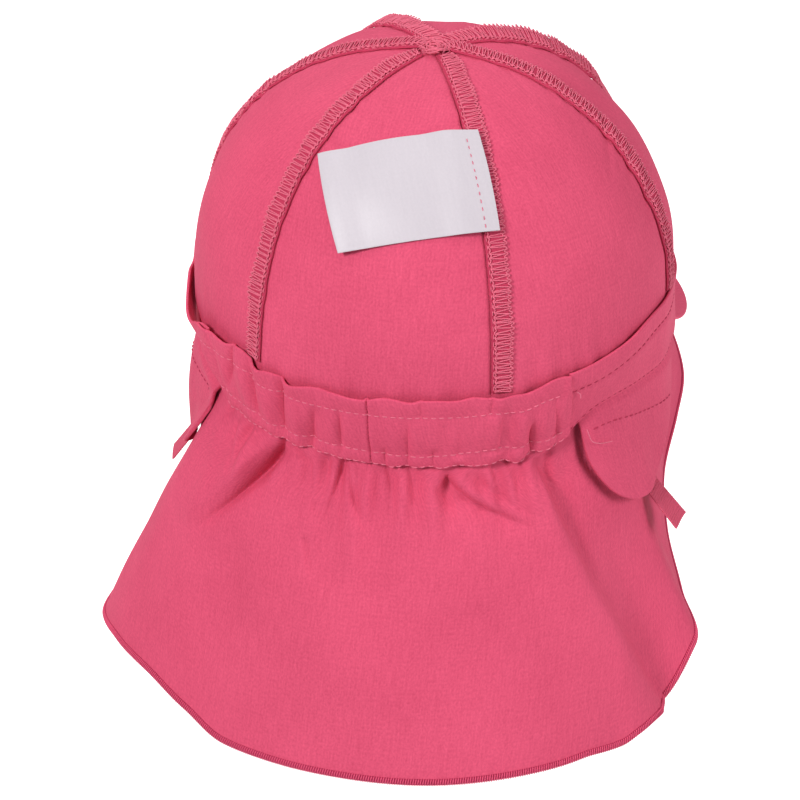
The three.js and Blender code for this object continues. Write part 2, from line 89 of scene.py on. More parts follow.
# Band
BAND_WALL = 0.9
BAND_CLEARANCE = 0.5
BAND_LENGTH = 330
BAND_HEIGHT = 20
BAND_DEPTH = 0.6  # from the band's inner face to the middle of the front band's cloth
BAND_SWAY = 0.22
BAND_UPPER_LINE = 6.6  # distance of a stitch line from the upper edge
BAND_LOWER_LINE = 0.9  # distance of a stitch line from the rim
CASING_HALF_ANGLE = 47
CASING_LENGTH = 118
CASING_HEIGHT = 24.5
CASING_DEPTH = 0.95
CASING_PUFF = 0.65
CASING_LOWER_PUFF = 0.3
CASING_GATHERS = 0.4
CASING_OVERLAP = 0.65  # lift of its ends over the front band
FRILL_FLARE = 0.35
FRILL_RIPPLE = 0.5
EDGE_WAVER = 0.45
JOIN_ANGLE = 0.2
JOIN_DEPTH = 1.0
JOIN_SPREAD = 0.1
LINE_A = 0.765  # shares of the casing's height where its three stitch lines run
LINE_B = 0.2
LINE_C = 0.025

# Neck flap
FLAP_WALL = 0.5
FLAP_HALF_ANGLE = 112
FLAP_TUCK = 3.2
FLAP_CLEARANCE = 0.4
FLAP_PLANE_SPREAD = 30
FLAP_PLANE_DEPTH = 90
FLAP_GATHERS = 1.0
FLAP_LOW_GATHERS = 0.7
FLAP_SWAY = 0.5
FLAP_SIDE_INSET = 1.3  # below the front band, under the ear flaps
GATHER_END = 0.26
CREASE_STEPS = 24
CREASE_SKEW = 0.6  # below 1, the deepest place is nearer to the start
CREASE_SHARPNESS = 1.3
HEM_WIDTH = 1.9
HEM_PITCH = 0.72

# Ear flaps, ribbon ends and peak
EAR_WALL = 1.2
EAR_STRAIGHT_SIDE = 0.22
EAR_ROUNDNESS = 2.0
EAR_CLEARANCE = 0.9
EAR_SEWN_INSET = 0.2
EAR_FREE_OFFSET = 0.3
EAR_STITCH_DROP = 9.6
EAR_STITCH_SLOPE = 4.8
RIBBON_WIDTH = 8
RIBBON_LENGTH = 17
RIBBON_WALL = 0.5
RIBBON_TUCK = 3.5
RIBBON_CLEARANCE = 0.8
RIB_PITCH = 0.75
RIB_HEIGHT = 0.1
PEAK_WALL = 1.7
PEAK_WIDTH = 240
PEAK_HALF_ANGLE = 65
PEAK_DEPTH = 43
PEAK_END_DEPTH = 2
PEAK_ROUNDNESS = 2.9
PEAK_SLOPE = 22
PEAK_SIDE_SLOPE = 60
PEAK_STITCH_INSET = 8
PEAK_SEAM_OFFSET = -0.2  # from the band's inner face
PEAK_DROP = 0.9
PEAK_ROOT_LIFT = 1.9
PEAK_ROOT_LENGTH = 3

# Label
LABEL_WIDTH = 46.8
LABEL_HEIGHT = 31
LABEL_WALL = 0.35
LABEL_ANGLE = 6.7
LABEL_RISE = 0.513
LABEL_TILT = 12.9
LABEL_SKEW = 5
LABEL_CLEARANCE = 1.1
LABEL_SEAM_LIFT = 1.5
LABEL_SEAM_SHARES = (0.62, 0.82)
LABEL_FREE_LIFT = 1.8
LABEL_FREE_SHARE = 0.22
LABEL_CURL = 0.35
LABEL_STITCH_SHARE = 0.91

# Ear flaps: angle of the middle and half the angle they span at the rim, how far the lower end is
# swept round, drop, bulge of the middle, lift of the lower end, how far the ribbon end turns from
# hanging straight down, how far the roundest place lies to one side, and the cut's square metres
EARS = {
    "left": {
        "centre": -73, "half": 21, "sweep": -6, "drop": 37, "bulge": 2.7, "lift": 1.5,
        "turn": 36, "skew": 0, "area": 0.0018,
    },
    "right": {
        "centre": 72, "half": 20, "sweep": 3, "drop": 33.6, "bulge": 0.3, "lift": 3,
        "turn": 47, "skew": 0.35, "area": 0.0015,
    },
}

# Seams: name, angle, the way the allowance lies, start radius below the top, stand of the free edge
SEAMS = [
    ("back_right", 28, 1, 4.5, 0.0),
    ("right", 88, 1, 2.0, 0.8),
    ("front_right", 138, 1, 6.5, 2.8),
    ("front_left", 222, -1, 5.0, 2.2),
    ("left", 272, -1, 2.0, 0.8),
    ("back_left", 332, -1, 4.5, 0.0),
]
PANEL_NAMES = ["back_right", "front_right", "front", "front_left", "back_left", "back"]

# Dents and swells of the crown: angle, rise, half spans of both, height
CROWN_SWELLS = [
    (112, 0.55, 30, 0.22, -1.5),
    (98, 0.14, 24, 0.14, 1.0),
    (-85, 0.6, 30, 0.25, -0.8),
]

# Band: angle, upper edge, rim, and how far the upper edge stands off the crown
BAND = [
    (-180, 7, -13, 0),
    (-120, 6, -13, 0.4),
    (-100, 6, -13, 3),
    (-92, 5.5, -13.5, 2.4),
    (-82, 2.5, -14, 0.7),
    (-75, 3.6, -15, 0.6),
    (-66, 1.2, -17, 1.4),
    (-58, -0.6, -19, 2.4),
    (-49, 3.6, -20.8, 1.6),
    (-41, 3.9, -22, 0.7),
    (-34, 4.4, -22.4, 0.3),
    (-27, 1, -22.5, 0),
    (0, 1.8, -22.5, 0),
    (28, 2.6, -22.5, 0),
    (35, 1.6, -22.5, 0),
    (42, 4.2, -21.6, 0),
    (48, 4.5, -19, 0),
    (52, 4.6, -15.4, 0),
    (57, 5, -12.6, 0),
    (62, 5.7, -12, 0),
    (72, 7.7, -12.8, 0),
    (82, 8.4, -13.6, 0),
    (92, 7.8, -13.8, 0),
    (112, 7, -13.4, 0),
    (180, 7, -13, 0),
]

# How far the band draws in for each millimetre below the widest level
BAND_LEAN = [
    (-180, 0.1),
    (-110, 0.1),
    (-75, 0.15),
    (-55, 0.205),
    (55, 0.205),
    (75, 0.12),
    (88, -0.01),
    (108, -0.02),
    (122, 0.1),
    (180, 0.1),
]

# Neck flap: angle, drop of the hem below the rim, reach outwards, power of the curve between
NECK_FLAP = [
    (-112, 6, 2.5, 1),
    (-106, 24, 5, 1.2),
    (-100, 42, 5.5, 1.6),
    (-90, 68, 13, 2.5),
    (-80, 85, 24, 2.6),
    (-72, 90.8, 31, 2.1),
    (-62, 88, 36.6, 1.12),
    (-52, 82, 36.8, 0.92),
    (-40, 79, 37.1, 0.95),
    (-30, 81.5, 37.6, 1),
    (-20, 84.4, 38.9, 1),
    (20, 85, 38.2, 1),
    (40, 85, 36.6, 1.05),
    (50, 90.2, 34.5, 1.15),
    (60, 94.2, 29.2, 1.5),
    (70, 80.9, 27.4, 2),
    (78, 72.8, 14.8, 2.4),
    (86, 59.2, 5, 2.4),
    (94, 43.8, 1.2, 1.8),
    (101, 30.2, 3.6, 1.2),
    (106, 20.4, 5.3, 1),
    (112, 6, 2, 1),
]
# Folds of the neck flap: angle at the start and the end, share of the drop at the start and the
# end, half width in degrees, height (negative for a crease) and sharpness
FOLDS = [
    (-22.7, -44.3, 0.02, 0.5, 2.3, -2.4, 1.4),
    (-30, -52, 0.02, 0.6, 5.0, 1.6, 2.0),
    (-12, -11, 0.0, 0.22, 3.0, -1.3, 2.4),
    (-6, -1, 0.0, 0.4, 2.2, 1.2, 2.0),
    (36, 57, 0.0, 1.1, 5.0, 2.2, 2.0),
    (47.5, 66, 0.0, 1.1, 5.0, -2.0, 2.0),
    (-58, -76, 0.0, 0.75, 7.0, -5.5, 2.0),
    (-19.5, -39.5, 0.02, 0.42, 1.8, 1.2, 2.0),
    (-17, -22, 0.02, 0.3, 2.0, 0.8, 2.0),
    (-45, -56, 0.4, 1.1, 6.0, -1.0, 2.0),
    (-29, -27, 0.35, 1.1, 4.0, -1.2, 2.0),
    (-20, -18, 0.35, 1.1, 5.0, 0.8, 2.0),
    (-5, -8, 0.35, 1.1, 6.0, 0.7, 2.0),
    (20, 24, 0.4, 1.1, 6.0, -0.6, 2.0),
]

# Creases of the neck flap: a curve through three places, each an angle and a share of the drop,
# then the width of the slope towards the wearer's right and towards the left, the height, negative
# for a valley, and the share of the height that is left at the end
CREASES = [
    ((-24.6, 0.0), (-31.0, 0.19), (-42.5, 0.48), 3.6, 0.9, -5.2, 0.0),
    ((-27.6, 0.0), (-34.2, 0.18), (-45.6, 0.46), 1.6, 5.0, 1.8, 0.0),
    ((-41.2, 0.05), (-38.2, 0.14), (-36.0, 0.21), 0.6, 1.4, -1.0, 0.0),
    ((-15.3, 0.05), (-14.3, 0.114), (-12.6, 0.178), 0.8, 3.0, -1.4, 0.3),
    ((-7.6, 0.0), (-8.2, 0.09), (-9.3, 0.172), 3.0, 0.9, -3.4, 0.3),
    ((-12.9, 0.17), (-10.7, 0.196), (-9.0, 0.166), 1.6, 0.9, -0.6, 0.0),
    ((-6.4, 0.04), (-2.9, 0.14), (0.6, 0.225), 2.2, 0.7, -2.2, 0.0),
    ((-21.5, 0.02), (-17.7, 0.044), (-14.5, 0.06), 1.2, 1.2, -1.8, 0.0),
    ((-13.5, 0.28), (-11.5, 0.348), (-9.5, 0.415), 1.6, 0.8, -1.0, 0.0),
    ((17.5, 0.05), (26.0, 0.15), (38.3, 0.232), 1.5, 4.0, -3.6, 0.0),
    ((20.0, 0.035), (27.5, 0.125), (38.5, 0.21), 2.6, 2.0, 1.0, 0.0),
    ((23.0, 0.03), (29.0, 0.1), (38.0, 0.19), 1.6, 2.4, -1.8, 0.0),
    ((14.4, 0.03), (17.1, 0.11), (20.4, 0.165), 1.8, 1.3, -2.0, 0.0),
    ((28.9, 0.0), (29.4, 0.035), (30.2, 0.08), 1.4, 1.1, -1.5, 0.0),
    ((38.6, 0.0), (47.0, 0.41), (58.5, 1.0), 1.5, 8.0, 2.0, 0.5),
    ((40.8, 0.03), (49.4, 0.45), (61.4, 1.0), 6.0, 1.6, -3.6, 0.5),
    ((39.5, 0.02), (44.0, 0.125), (50.5, 0.28), 2.4, 1.2, -1.6, 0.0),
    ((53.2, 0.02), (55.4, 0.205), (65.0, 0.39), 2.6, 1.1, -2.8, 0.0),
    ((33.0, 0.0), (33.5, 0.03), (34.4, 0.075), 1.4, 1.1, -1.5, 0.0),
    ((9.0, 0.0), (9.6, 0.06), (10.8, 0.14), 1.3, 1.0, -1.8, 0.0),
    ((3.0, 0.0), (4.2, 0.05), (5.8, 0.12), 1.3, 0.9, -1.6, 0.0),
    ((-44.0, 0.0), (-45.5, 0.05), (-48.0, 0.11), 1.2, 1.2, -1.6, 0.0),
]

# Creases of the casing: angle at the rim and at the top, share of the height at both ends, half
# width in degrees, and height, negative for a valley
CASING_CREASES = [
    (-23.8, -21.6, 0.0, 1.15, 1.3, -2.6),
    (-15.8, -11.6, -0.1, 0.74, 1.6, -2.6),
    (-31.8, -31.0, 0.1, 1.1, 1.0, -1.4),
    (-44.0, -36.4, 0.3, 1.15, 1.0, -1.7),
    (39.2, 36.6, -0.1, 0.55, 1.1, -1.9),
    (45.9, 42.0, 0.0, 0.75, 1.0, -1.2),
    (30.0, 31.0, 0.15, 0.75, 1.0, -1.0),
    (21.0, 20.5, 0.1, 0.8, 1.2, -1.0),
    (9.0, 9.5, -0.1, 0.75, 1.0, -1.1),
    (-7.3, -6.2, 0.05, 0.8, 0.9, -1.2),
    (15.0, 14.6, 0.0, 0.3, 0.8, -0.9),
    (3.6, 3.8, 0.0, 0.3, 0.8, -0.9),
    (27.0, 28.0, 0.7, 1.15, 0.9, -0.9),
    (13.0, 12.0, 0.72, 1.15, 1.0, -0.9),
    (-27.0, -25.6, 0.0, 0.8, 1.8, 0.9),
    (-19.0, -16.6, 0.0, 0.8, 1.8, 0.9),
    (25.0, 25.5, 0.1, 0.8, 1.8, 0.7),
    (42.6, 40.0, 0.1, 0.8, 1.8, 0.7),
]


def unit(vectors):
    return vectors / np.maximum(np.linalg.norm(vectors, axis=-1, keepdims=True), 1e-12)


def mix(start, end, share):
    return start + (end - start) * share


def smoothstep(value, low, high):
    t = np.clip((value - low) / (high - low), 0, 1)
    return t * t * (3 - 2 * t)


def bell(offset, width):
    return np.exp(-((offset / width) ** 2))


def arch(share):
    """A curve that goes from 0 to 1 and back while the share goes from 0 to 1."""
    return np.sin(math.pi * np.clip(share, 0, 1))


def table_curve(rows, column):
    """A smooth curve through one column of a table, without overshoot."""
    x = np.array([row[0] for row in rows], dtype=float)
    y = np.array([row[column] for row in rows], dtype=float)
    rate = np.diff(y) / np.diff(x)
    before = rate[:-1]
    after = rate[1:]
    level = before * after <= 0
    tangent = np.zeros(len(x))
    tangent[1:-1] = np.where(level, 0, 2 * before * after / np.where(level, 1, before + after))

    def curve(at):
        place = np.clip(at, x[0], x[-1])
        i = np.clip(np.searchsorted(x, place) - 1, 0, len(x) - 2)
        span = x[i + 1] - x[i]
        t = (place - x[i]) / span
        bend = t * (1 - t) * span * ((1 - t) * tangent[i] - t * tangent[i + 1])
        return mix(y[i], y[i + 1], t * t * (3 - 2 * t)) + bend

    return curve


def ripples(seed, shortest, longest, count=16, turned=True):
    """A smooth random height, mostly between -1 and 1, as a function of two lengths."""
    draw = np.random.default_rng(seed)
    wave = draw.uniform(shortest, longest, count)
    turn = draw.uniform(0, 2 * math.pi, count) if turned else np.zeros(count)
    phase = draw.uniform(0, 2 * math.pi, count)

    def height(x, y=0):
        total = 0
        for w, a, p in zip(wave, turn, phase):
            total = total + np.sin(2 * math.pi * (x * math.cos(a) + y * math.sin(a)) / w + p)
        return total / math.sqrt(count)

    return height


def ripples_along(seed, shortest, longest):
    """A smooth random height along one length."""
    return ripples(seed, shortest, longest, count=9, turned=False)


band_top = table_curve(BAND, 1)
band_rim = table_curve(BAND, 2)
band_stand = table_curve(BAND, 3)
band_lean = table_curve(BAND_LEAN, 1)
flap_drop = table_curve(NECK_FLAP, 1)
flap_reach = table_curve(NECK_FLAP, 2)
flap_curve = table_curve(NECK_FLAP, 3)


def wrapped(angle):
    return np.mod(np.asarray(angle, dtype=float) + 180, 360) - 180


def around(angle, radius, height):
    turn = np.radians(angle)
    x = -radius * np.sin(turn)
    y = radius * np.cos(turn)
    return np.stack(np.broadcast_arrays(x, y, height), axis=-1)


def arc_length(angle):
    """The length round the head for an angle."""
    return np.radians(angle) * HEAD_HALF_WIDTH


def head_radius(angle):
    turn = np.radians(angle)
    length = np.where(np.cos(turn) > 0, HEAD_BACK_LENGTH, HEAD_FRONT_LENGTH)
    return 1 / np.hypot(np.sin(turn) / HEAD_HALF_WIDTH, np.cos(turn) / length)


def band_inner_radius(angle, height):
    lean = band_lean(wrapped(angle)) * np.minimum(height, 0)
    return head_radius(angle) + BAND_CLEARANCE + lean


# Crown
def dome_share(rise):
    return np.cos(np.clip(rise, 0, 1) * math.pi / 2) ** CROWN_SIDE_POWER


def dome_height(rise):
    return CROWN_HEIGHT * np.sin(np.clip(rise, 0, 1) * math.pi / 2) ** CROWN_TOP_POWER


def rise_at_radius(angle, radius):
    share = np.clip(radius / head_radius(angle), 0, 1)
    return np.arccos(share ** (1 / CROWN_SIDE_POWER)) * 2 / math.pi


def rise_at_height(height):
    return np.arcsin((height / CROWN_HEIGHT) ** (1 / CROWN_TOP_POWER)) * 2 / math.pi


SEAM_ANGLES = np.array([seam[1] for seam in SEAMS] + [SEAMS[0][1] + 360], dtype=float)


def panel_place(angle):
    """The share of the way across its panel at an angle, and the angle to the nearest seam."""
    turned = np.mod(angle - SEAM_ANGLES[0], 360) + SEAM_ANGLES[0]
    i = np.clip(np.searchsorted(SEAM_ANGLES, turned, side="right") - 1, 0, len(SEAMS) - 1)
    share = (turned - SEAM_ANGLES[i]) / (SEAM_ANGLES[i + 1] - SEAM_ANGLES[i])
    nearest = np.minimum(turned - SEAM_ANGLES[i], SEAM_ANGLES[i + 1] - turned)
    return share, nearest


def crown_point(angle, rise, lift):
    """A point off the crown by a lift along its normal."""
    low = np.maximum(rise - STEP, 0)
    high = np.minimum(rise + STEP, 1)
    out = dome_height(high) - dome_height(low)
    up = head_radius(angle) * (dome_share(low) - dome_share(high))
    length = np.hypot(out, up)
    swell = PANEL_BULGE * arch(panel_place(angle)[0]) * arch(rise)
    for at, level, half, tall, height in CROWN_SWELLS:
        swell = swell + height * bell(wrapped(angle - at), half) * bell(rise - level, tall)
    distance = lift + swell
    radius = head_radius(angle) * dome_share(rise) + distance * out / length
    return around(angle, radius, dome_height(rise) + distance * up / length)


def on_crown(x, y, lift):
    """The point of the crown above a place near its top."""
    angle = np.degrees(np.arctan2(-x, y))
    return crown_point(angle, rise_at_radius(angle, np.hypot(x, y)), lift)


crown_sway = ripples(11, 26, 60)
crown_gathers = ripples_along(12, 6, 13)
seam_puckers = ripples_along(13, 5, 12)


def crown_relief(angle, rise):
    """Small unevenness of the crown's cloth: seam ditches, soft sway and gathers over the band."""
    to_seam = np.radians(panel_place(angle)[1]) * head_radius(angle) * dome_share(rise)
    ditch = -SEAM_DITCH * bell(to_seam, SEAM_DITCH_WIDTH)
    length = arc_length(wrapped(angle))
    height = dome_height(rise)
    sway = CROWN_SWAY * crown_sway(length, height * CROWN_SWAY_STRETCH)
    at_back = 1 - smoothstep(np.abs(wrapped(angle) - 5), 45, 75)
    fade = np.exp(-np.maximum(height - 2, 0) / CROWN_GATHER_FADE)
    gathers = CROWN_GATHERS * crown_gathers(length) * fade * at_back
    pucker = SEAM_PUCKER * seam_puckers(rise * 100 + 40 * np.cos(np.radians(angle)))
    return ditch + gathers + (sway + pucker * np.exp(-to_seam / SEAM_PUCKER_FADE)) * arch(rise)


# Band
def band_point(angle, share, depth):
    place = wrapped(angle)
    height = mix(band_rim(place), band_top(place), share)
    stand = band_stand(place) * np.clip(share, 0, 2) ** 2
    return around(angle, band_inner_radius(angle, height) + stand + depth, height)


casing_ripple = ripples_along(21, 5.5, 11)
frill_ripple = ripples_along(22, 11, 26)


def fold_height(angle, share):
    total = 0
    for start_angle, end_angle, start, end, width, height, sharpness in FOLDS:
        along = np.clip((share - start) / (end - start), 0, 1)
        offset = np.abs(angle - mix(start_angle, end_angle, along)) / width
        taper = arch(np.sqrt(along)) * smoothstep(along, 0, 0.15)
        total = total + height * taper * np.exp(-(offset**sharpness))
    return total


def flap_plane(angle, share):
    """The neck flap laid nearly flat, for measuring along the cloth."""
    return np.radians(angle) * (HEAD_HALF_WIDTH + FLAP_PLANE_SPREAD * share), FLAP_PLANE_DEPTH * share


def crease_height(angle, share):
    x, y = flap_plane(angle, share)
    t = np.linspace(0, 1, CREASE_STEPS + 1)
    bends = (2 * (t - 0.5) * (t - 1), -4 * t * (t - 1), 2 * t * (t - 0.5))
    total = np.zeros(np.shape(x))
    for *places, rightwards, leftwards, height, remains in CREASES:
        route = sum(bend[:, None] * np.array(place) for bend, place in zip(bends, places))
        path_x, path_y = flap_plane(route[:, 0], route[:, 1])
        nearest = np.full(np.shape(x), np.inf)
        along = np.zeros(np.shape(x))
        turn = np.zeros(np.shape(x))
        for i in range(CREASE_STEPS):
            step_x = path_x[i + 1] - path_x[i]
            step_y = path_y[i + 1] - path_y[i]
            from_x = x - path_x[i]
            from_y = y - path_y[i]
            place = np.clip((from_x * step_x + from_y * step_y) / (step_x**2 + step_y**2), 0, 1)
            distance = np.hypot(from_x - place * step_x, from_y - place * step_y)
            closer = distance < nearest
            nearest = np.where(closer, distance, nearest)
            along = np.where(closer, (i + place) / CREASE_STEPS, along)
            turn = np.where(closer, step_x * from_y - step_y * from_x, turn)
        width = np.where(turn < 0, rightwards, leftwards)
        taper = arch(along**CREASE_SKEW)
        taper = np.where(along > 0.3, np.maximum(taper, remains), taper)
        total = total + height * taper * np.exp(-((nearest / width) ** CREASE_SHARPNESS))
    return total


def casing_ends(share):
    """Angles of the casing's slanting ends at a share of its height."""
    return -46 - 7 * share, 49 - 2.3 * share


def casing_point(angle, share):
    """The middle of the casing's cloth: a puffed channel between two stitch lines, frilled above."""
    length = arc_length(angle)
    channel = arch((share - LINE_B) / (LINE_A - LINE_B))
    lower = arch((share - LINE_C) / (LINE_B - LINE_C))
    frill = np.clip((share - LINE_A) / (1 - LINE_A), 0, 1)
    gathered = CASING_GATHERS * np.clip(0.25 + channel + 0.5 * lower, 0, 1)
    depth = CASING_DEPTH + CASING_PUFF * channel + CASING_LOWER_PUFF * lower
    depth = depth + gathered * casing_ripple(length)
    for low_angle, top_angle, low, high, width, height in CASING_CREASES:
        along = np.clip((share - low) / (high - low), 0, 1)
        offset = np.abs(angle - mix(low_angle, top_angle, share)) / width
        depth = depth + height * arch(along) ** 0.7 * np.exp(-(offset**1.4))
    depth = depth + frill * (FRILL_FLARE + FRILL_RIPPLE * frill_ripple(length))
    depth = depth - JOIN_DEPTH * np.exp(-((angle - JOIN_ANGLE) ** 2) / JOIN_SPREAD)
    depth = depth + CASING_OVERLAP * smoothstep(np.abs(angle), 44.5, 46.5)
    place = band_point(angle, share, depth)
    place[..., 2] += EDGE_WAVER * frill * frill_ripple(length + 9)
    place[..., 2] += EDGE_WAVER * np.clip(1 - share / LINE_B, 0, 1) * casing_ripple(length * 0.8 + 5)
    return place


band_sway = ripples(23, 14, 40)


def front_band_point(angle, share):
    """The middle of the front band's cloth, with shallow ditches along its two stitch lines."""
    place = wrapped(angle)
    tall = band_top(place) - band_rim(place)
    from_rim = share * tall
    upper = 0.3 * bell((1 - share) * tall - BAND_UPPER_LINE, 0.9)
    lower = 0.35 * bell(from_rim - BAND_LOWER_LINE, 0.7)
    sway = BAND_SWAY * band_sway(arc_length(place), from_rim)
    return band_point(angle, share, BAND_DEPTH - upper - lower + sway)


# Neck flap
def flap_radius(angle, drop):
    base = band_inner_radius(angle, band_rim(angle)) - FLAP_CLEARANCE
    share = np.clip(drop / flap_drop(angle), 0, 1)
    return base + flap_reach(angle) * share ** flap_curve(angle)


flap_gathers = ripples_along(31, 5, 10)
flap_gathers_low = ripples_along(32, 9, 18)
flap_sway = ripples(33, 30, 75)


def flap_point(angle, share):
    """The neck flap's cloth: share runs from 0 at the rim to 1 at the hem, below 0 up the tuck."""
    shown = np.clip(share, 0, 1)
    drop = shown * flap_drop(angle)
    tuck = np.clip(-share, 0, 1) * FLAP_TUCK
    length = arc_length(angle)
    at_back = 1 - smoothstep(np.abs(angle), CASING_HALF_ANGLE - 6, CASING_HALF_ANGLE + 4)
    fresh = smoothstep(shown, 0, 0.05) * (1 - smoothstep(shown, 0.05, GATHER_END))
    slow = smoothstep(shown, 0, 0.1) * (1 - smoothstep(shown, 0.1, 0.6))
    gathers = FLAP_GATHERS * fresh * flap_gathers(length)
    gathers = gathers + FLAP_LOW_GATHERS * slow * flap_gathers_low(length)
    relief = at_back * gathers + fold_height(angle, shown) + crease_height(angle, shown)
    relief = relief + FLAP_SWAY * smoothstep(shown, 0.2, 0.7) * flap_sway(length, drop)
    side = smoothstep(np.abs(angle), 49, 54) * (1 - smoothstep(drop, 1, 9))
    height = band_rim(angle) - drop + tuck
    radius = flap_radius(angle, drop) + band_lean(angle) * np.minimum(tuck, -height)
    return around(angle, radius + relief - FLAP_SIDE_INSET * side - FLAP_WALL / 2, height)


# Ear flaps
def ear_angle(ear, spread, drop):
    return ear["centre"] + ear["sweep"] * drop / ear["drop"] + ear["half"] * spread


def ear_inner_radius(ear, spread, drop):
    """The inner face of an ear flap, which lies over the neck flap."""
    angle = ear_angle(ear, spread, drop)
    share = np.clip(drop / ear["drop"], 0, 1)
    shown = np.clip(drop / flap_drop(angle), 0, 1)
    over_flap = flap_radius(angle, drop) + fold_height(angle, shown) + EAR_CLEARANCE
    over_flap = over_flap + ear["lift"] * share * share
    bulge = ear["bulge"] * arch(share) * (1 - spread * spread)
    return np.maximum(band_inner_radius(angle, band_rim(angle)), over_flap) + bulge


def ear_surface(ear):
    """The middle of an ear flap's cloth at a share of its half span and a drop below the rim."""

    def surface(spread, drop):
        angle = ear_angle(ear, spread, np.maximum(drop, 0))
        rim = band_rim(angle)
        sewn = band_inner_radius(angle, rim) + BAND_WALL - EAR_WALL / 2 - EAR_SEWN_INSET
        free = ear_inner_radius(ear, spread, np.maximum(drop, 0)) + EAR_FREE_OFFSET
        return around(angle, mix(sewn, free, smoothstep(drop, -0.4, 2.5)), rim - drop)

    return surface


# Label
def rise_towards(angle, steepness):
    """The rise at which the crown lies in a direction of a given steepness from the origin."""
    low = np.zeros_like(angle)
    high = np.ones_like(angle)
    for _ in range(40):
        middle = (low + high) / 2
        below = dome_height(middle) < steepness * head_radius(angle) * dome_share(middle)
        low = np.where(below, middle, low)
        high = np.where(below, high, middle)
    return (low + high) / 2


def label_point(across, up):
    """The middle of the label: across and up are shares of its width and height."""
    centre = crown_point(np.array(LABEL_ANGLE), np.array(LABEL_RISE), 0)
    turn = math.radians(LABEL_ANGLE)
    tilt = math.radians(LABEL_TILT)
    sideways = np.array([-math.cos(turn), -math.sin(turn), 0])
    uphill = unit(crown_point(np.array(LABEL_ANGLE), np.array(LABEL_RISE + STEP), 0) - centre)
    along_width = sideways * math.cos(tilt) + uphill * math.sin(tilt)
    skew = math.radians(LABEL_TILT + LABEL_SKEW)
    along_height = uphill * math.cos(skew) - sideways * math.sin(skew)
    across, up = np.broadcast_arrays(across, up)
    flat = centre + np.multiply.outer((across - 0.5) * LABEL_WIDTH, along_width)
    flat = flat + np.multiply.outer((up - 0.5) * LABEL_HEIGHT, along_height)
    angle = np.degrees(np.arctan2(-flat[..., 0], flat[..., 1]))
    rise = rise_towards(angle, flat[..., 2] / np.hypot(flat[..., 0], flat[..., 1]))
    over_seam = LABEL_SEAM_LIFT * smoothstep(across, *LABEL_SEAM_SHARES)
    free_end = LABEL_FREE_LIFT * (1 - smoothstep(across, 0, LABEL_FREE_SHARE))
    curl = LABEL_CURL * arch(up) * np.sin(2 * math.pi * across)
    return crown_point(angle, rise, LABEL_CLEARANCE + over_seam + free_end + curl)


# Cloth and thread: slot, dark and light colour, roughness, sheen, pitch of the weave in both
# directions, fineness of the slubs, bump and gloss
CLOTHS = {
    "cotton": (
        "cotton", (0.47, 0.04, 0.096), (0.76, 0.098, 0.19), 0.8, 0.12, (0.5, 0.5), 1.6, 0.6, 0.2
    ),
    "overlock_thread": (
        "seam_overlock", (0.62, 0.095, 0.17), (0.76, 0.17, 0.25), 0.7, 0.2, (0.3, 0.9), 4, 0.4, 0.25
    ),
    "topstitch_thread": (
        "seam_overlock", (0.62, 0.11, 0.19), (0.76, 0.19, 0.28), 0.65, 0.2, (0.3, 0.9), 4, 0.4, 0.25
    ),
    "grosgrain": (
        "ribbon", (0.5, 0.06, 0.115), (0.62, 0.09, 0.16), 0.75, 0.15, (0.4, 0.75), 3, 0.5, 0.25
    ),
    "satin": (
        "label_satin", (0.49, 0.445, 0.485), (0.56, 0.51, 0.55), 0.45, 0.05, (0.5, 0.16), 1, 0.06, 0.3
    ),
    "hem_thread": (
        "seam_overlock", (0.6, 0.06, 0.14), (0.76, 0.1, 0.2), 0.75, 0.15, (0.4, 0.8), 4, 0.4, 0.25
    ),
    # Hem core: painted shade, dark to stand for the shadow along the hem's edge
    "hem_core_painted_shade": (
        "seam_overlock", (0.27, 0.015, 0.05), (0.36, 0.025, 0.07), 0.9, 0.05, (0.5, 0.5), 2, 0.4, 0.1
    ),
    # Seam strips: cotton painted darker, as painted shade for the shadowed cloth seen between the overlock
    # threads
    "allowance_painted_shade": (
        "seam_overlock", (0.4, 0.03, 0.075), (0.54, 0.05, 0.11), 0.9, 0.1, (0.5, 0.5), 2, 0.4, 0.15
    ),
    # Thread of the front band, ear flaps and back join: pink thread painted darker, partly painted shade
    # where the stitches sink into the cloth
    "band_thread_painted_shade": (
        "seam_overlock", (0.36, 0.022, 0.065), (0.5, 0.04, 0.1), 0.7, 0.2, (0.3, 0.9), 4, 0.4, 0.25
    ),
}
BUMP_DISTANCE = 0.0001
TONE = 0.55  # how much the threads of the weave change its colour
SHEEN_ROUGHNESS = 0.5


def new_material(name):
    material = bpy.data.materials.new(name)
    material.use_nodes = True
    tree = material.node_tree
    return material, tree, tree.nodes["Principled BSDF"]


def set_inputs(node, values):
    for name, value in values.items():
        node.inputs[name].default_value = value


def noise_of_cloth(tree, vector, across, along, detail=3):
    """Noise over the cloth's own millimetres, stretched by a scale for each direction."""
    mapping = tree.nodes.new("ShaderNodeMapping")
    set_inputs(mapping, {"Scale": (across, along, 1)})
    noise = tree.nodes.new("ShaderNodeTexNoise")
    set_inputs(noise, {"Scale": 1, "Detail": detail})
    tree.links.new(vector, mapping.inputs["Vector"])
    tree.links.new(mapping.outputs["Vector"], noise.inputs["Vector"])
    return noise.outputs["Fac"]


def calculate(tree, operation, *values):
    node = tree.nodes.new("ShaderNodeMath")
    node.operation = operation
    for socket, value in zip(node.inputs, values):
        if isinstance(value, (int, float)):
            socket.default_value = value
        else:
            tree.links.new(value, socket)
    return node.outputs["Value"]


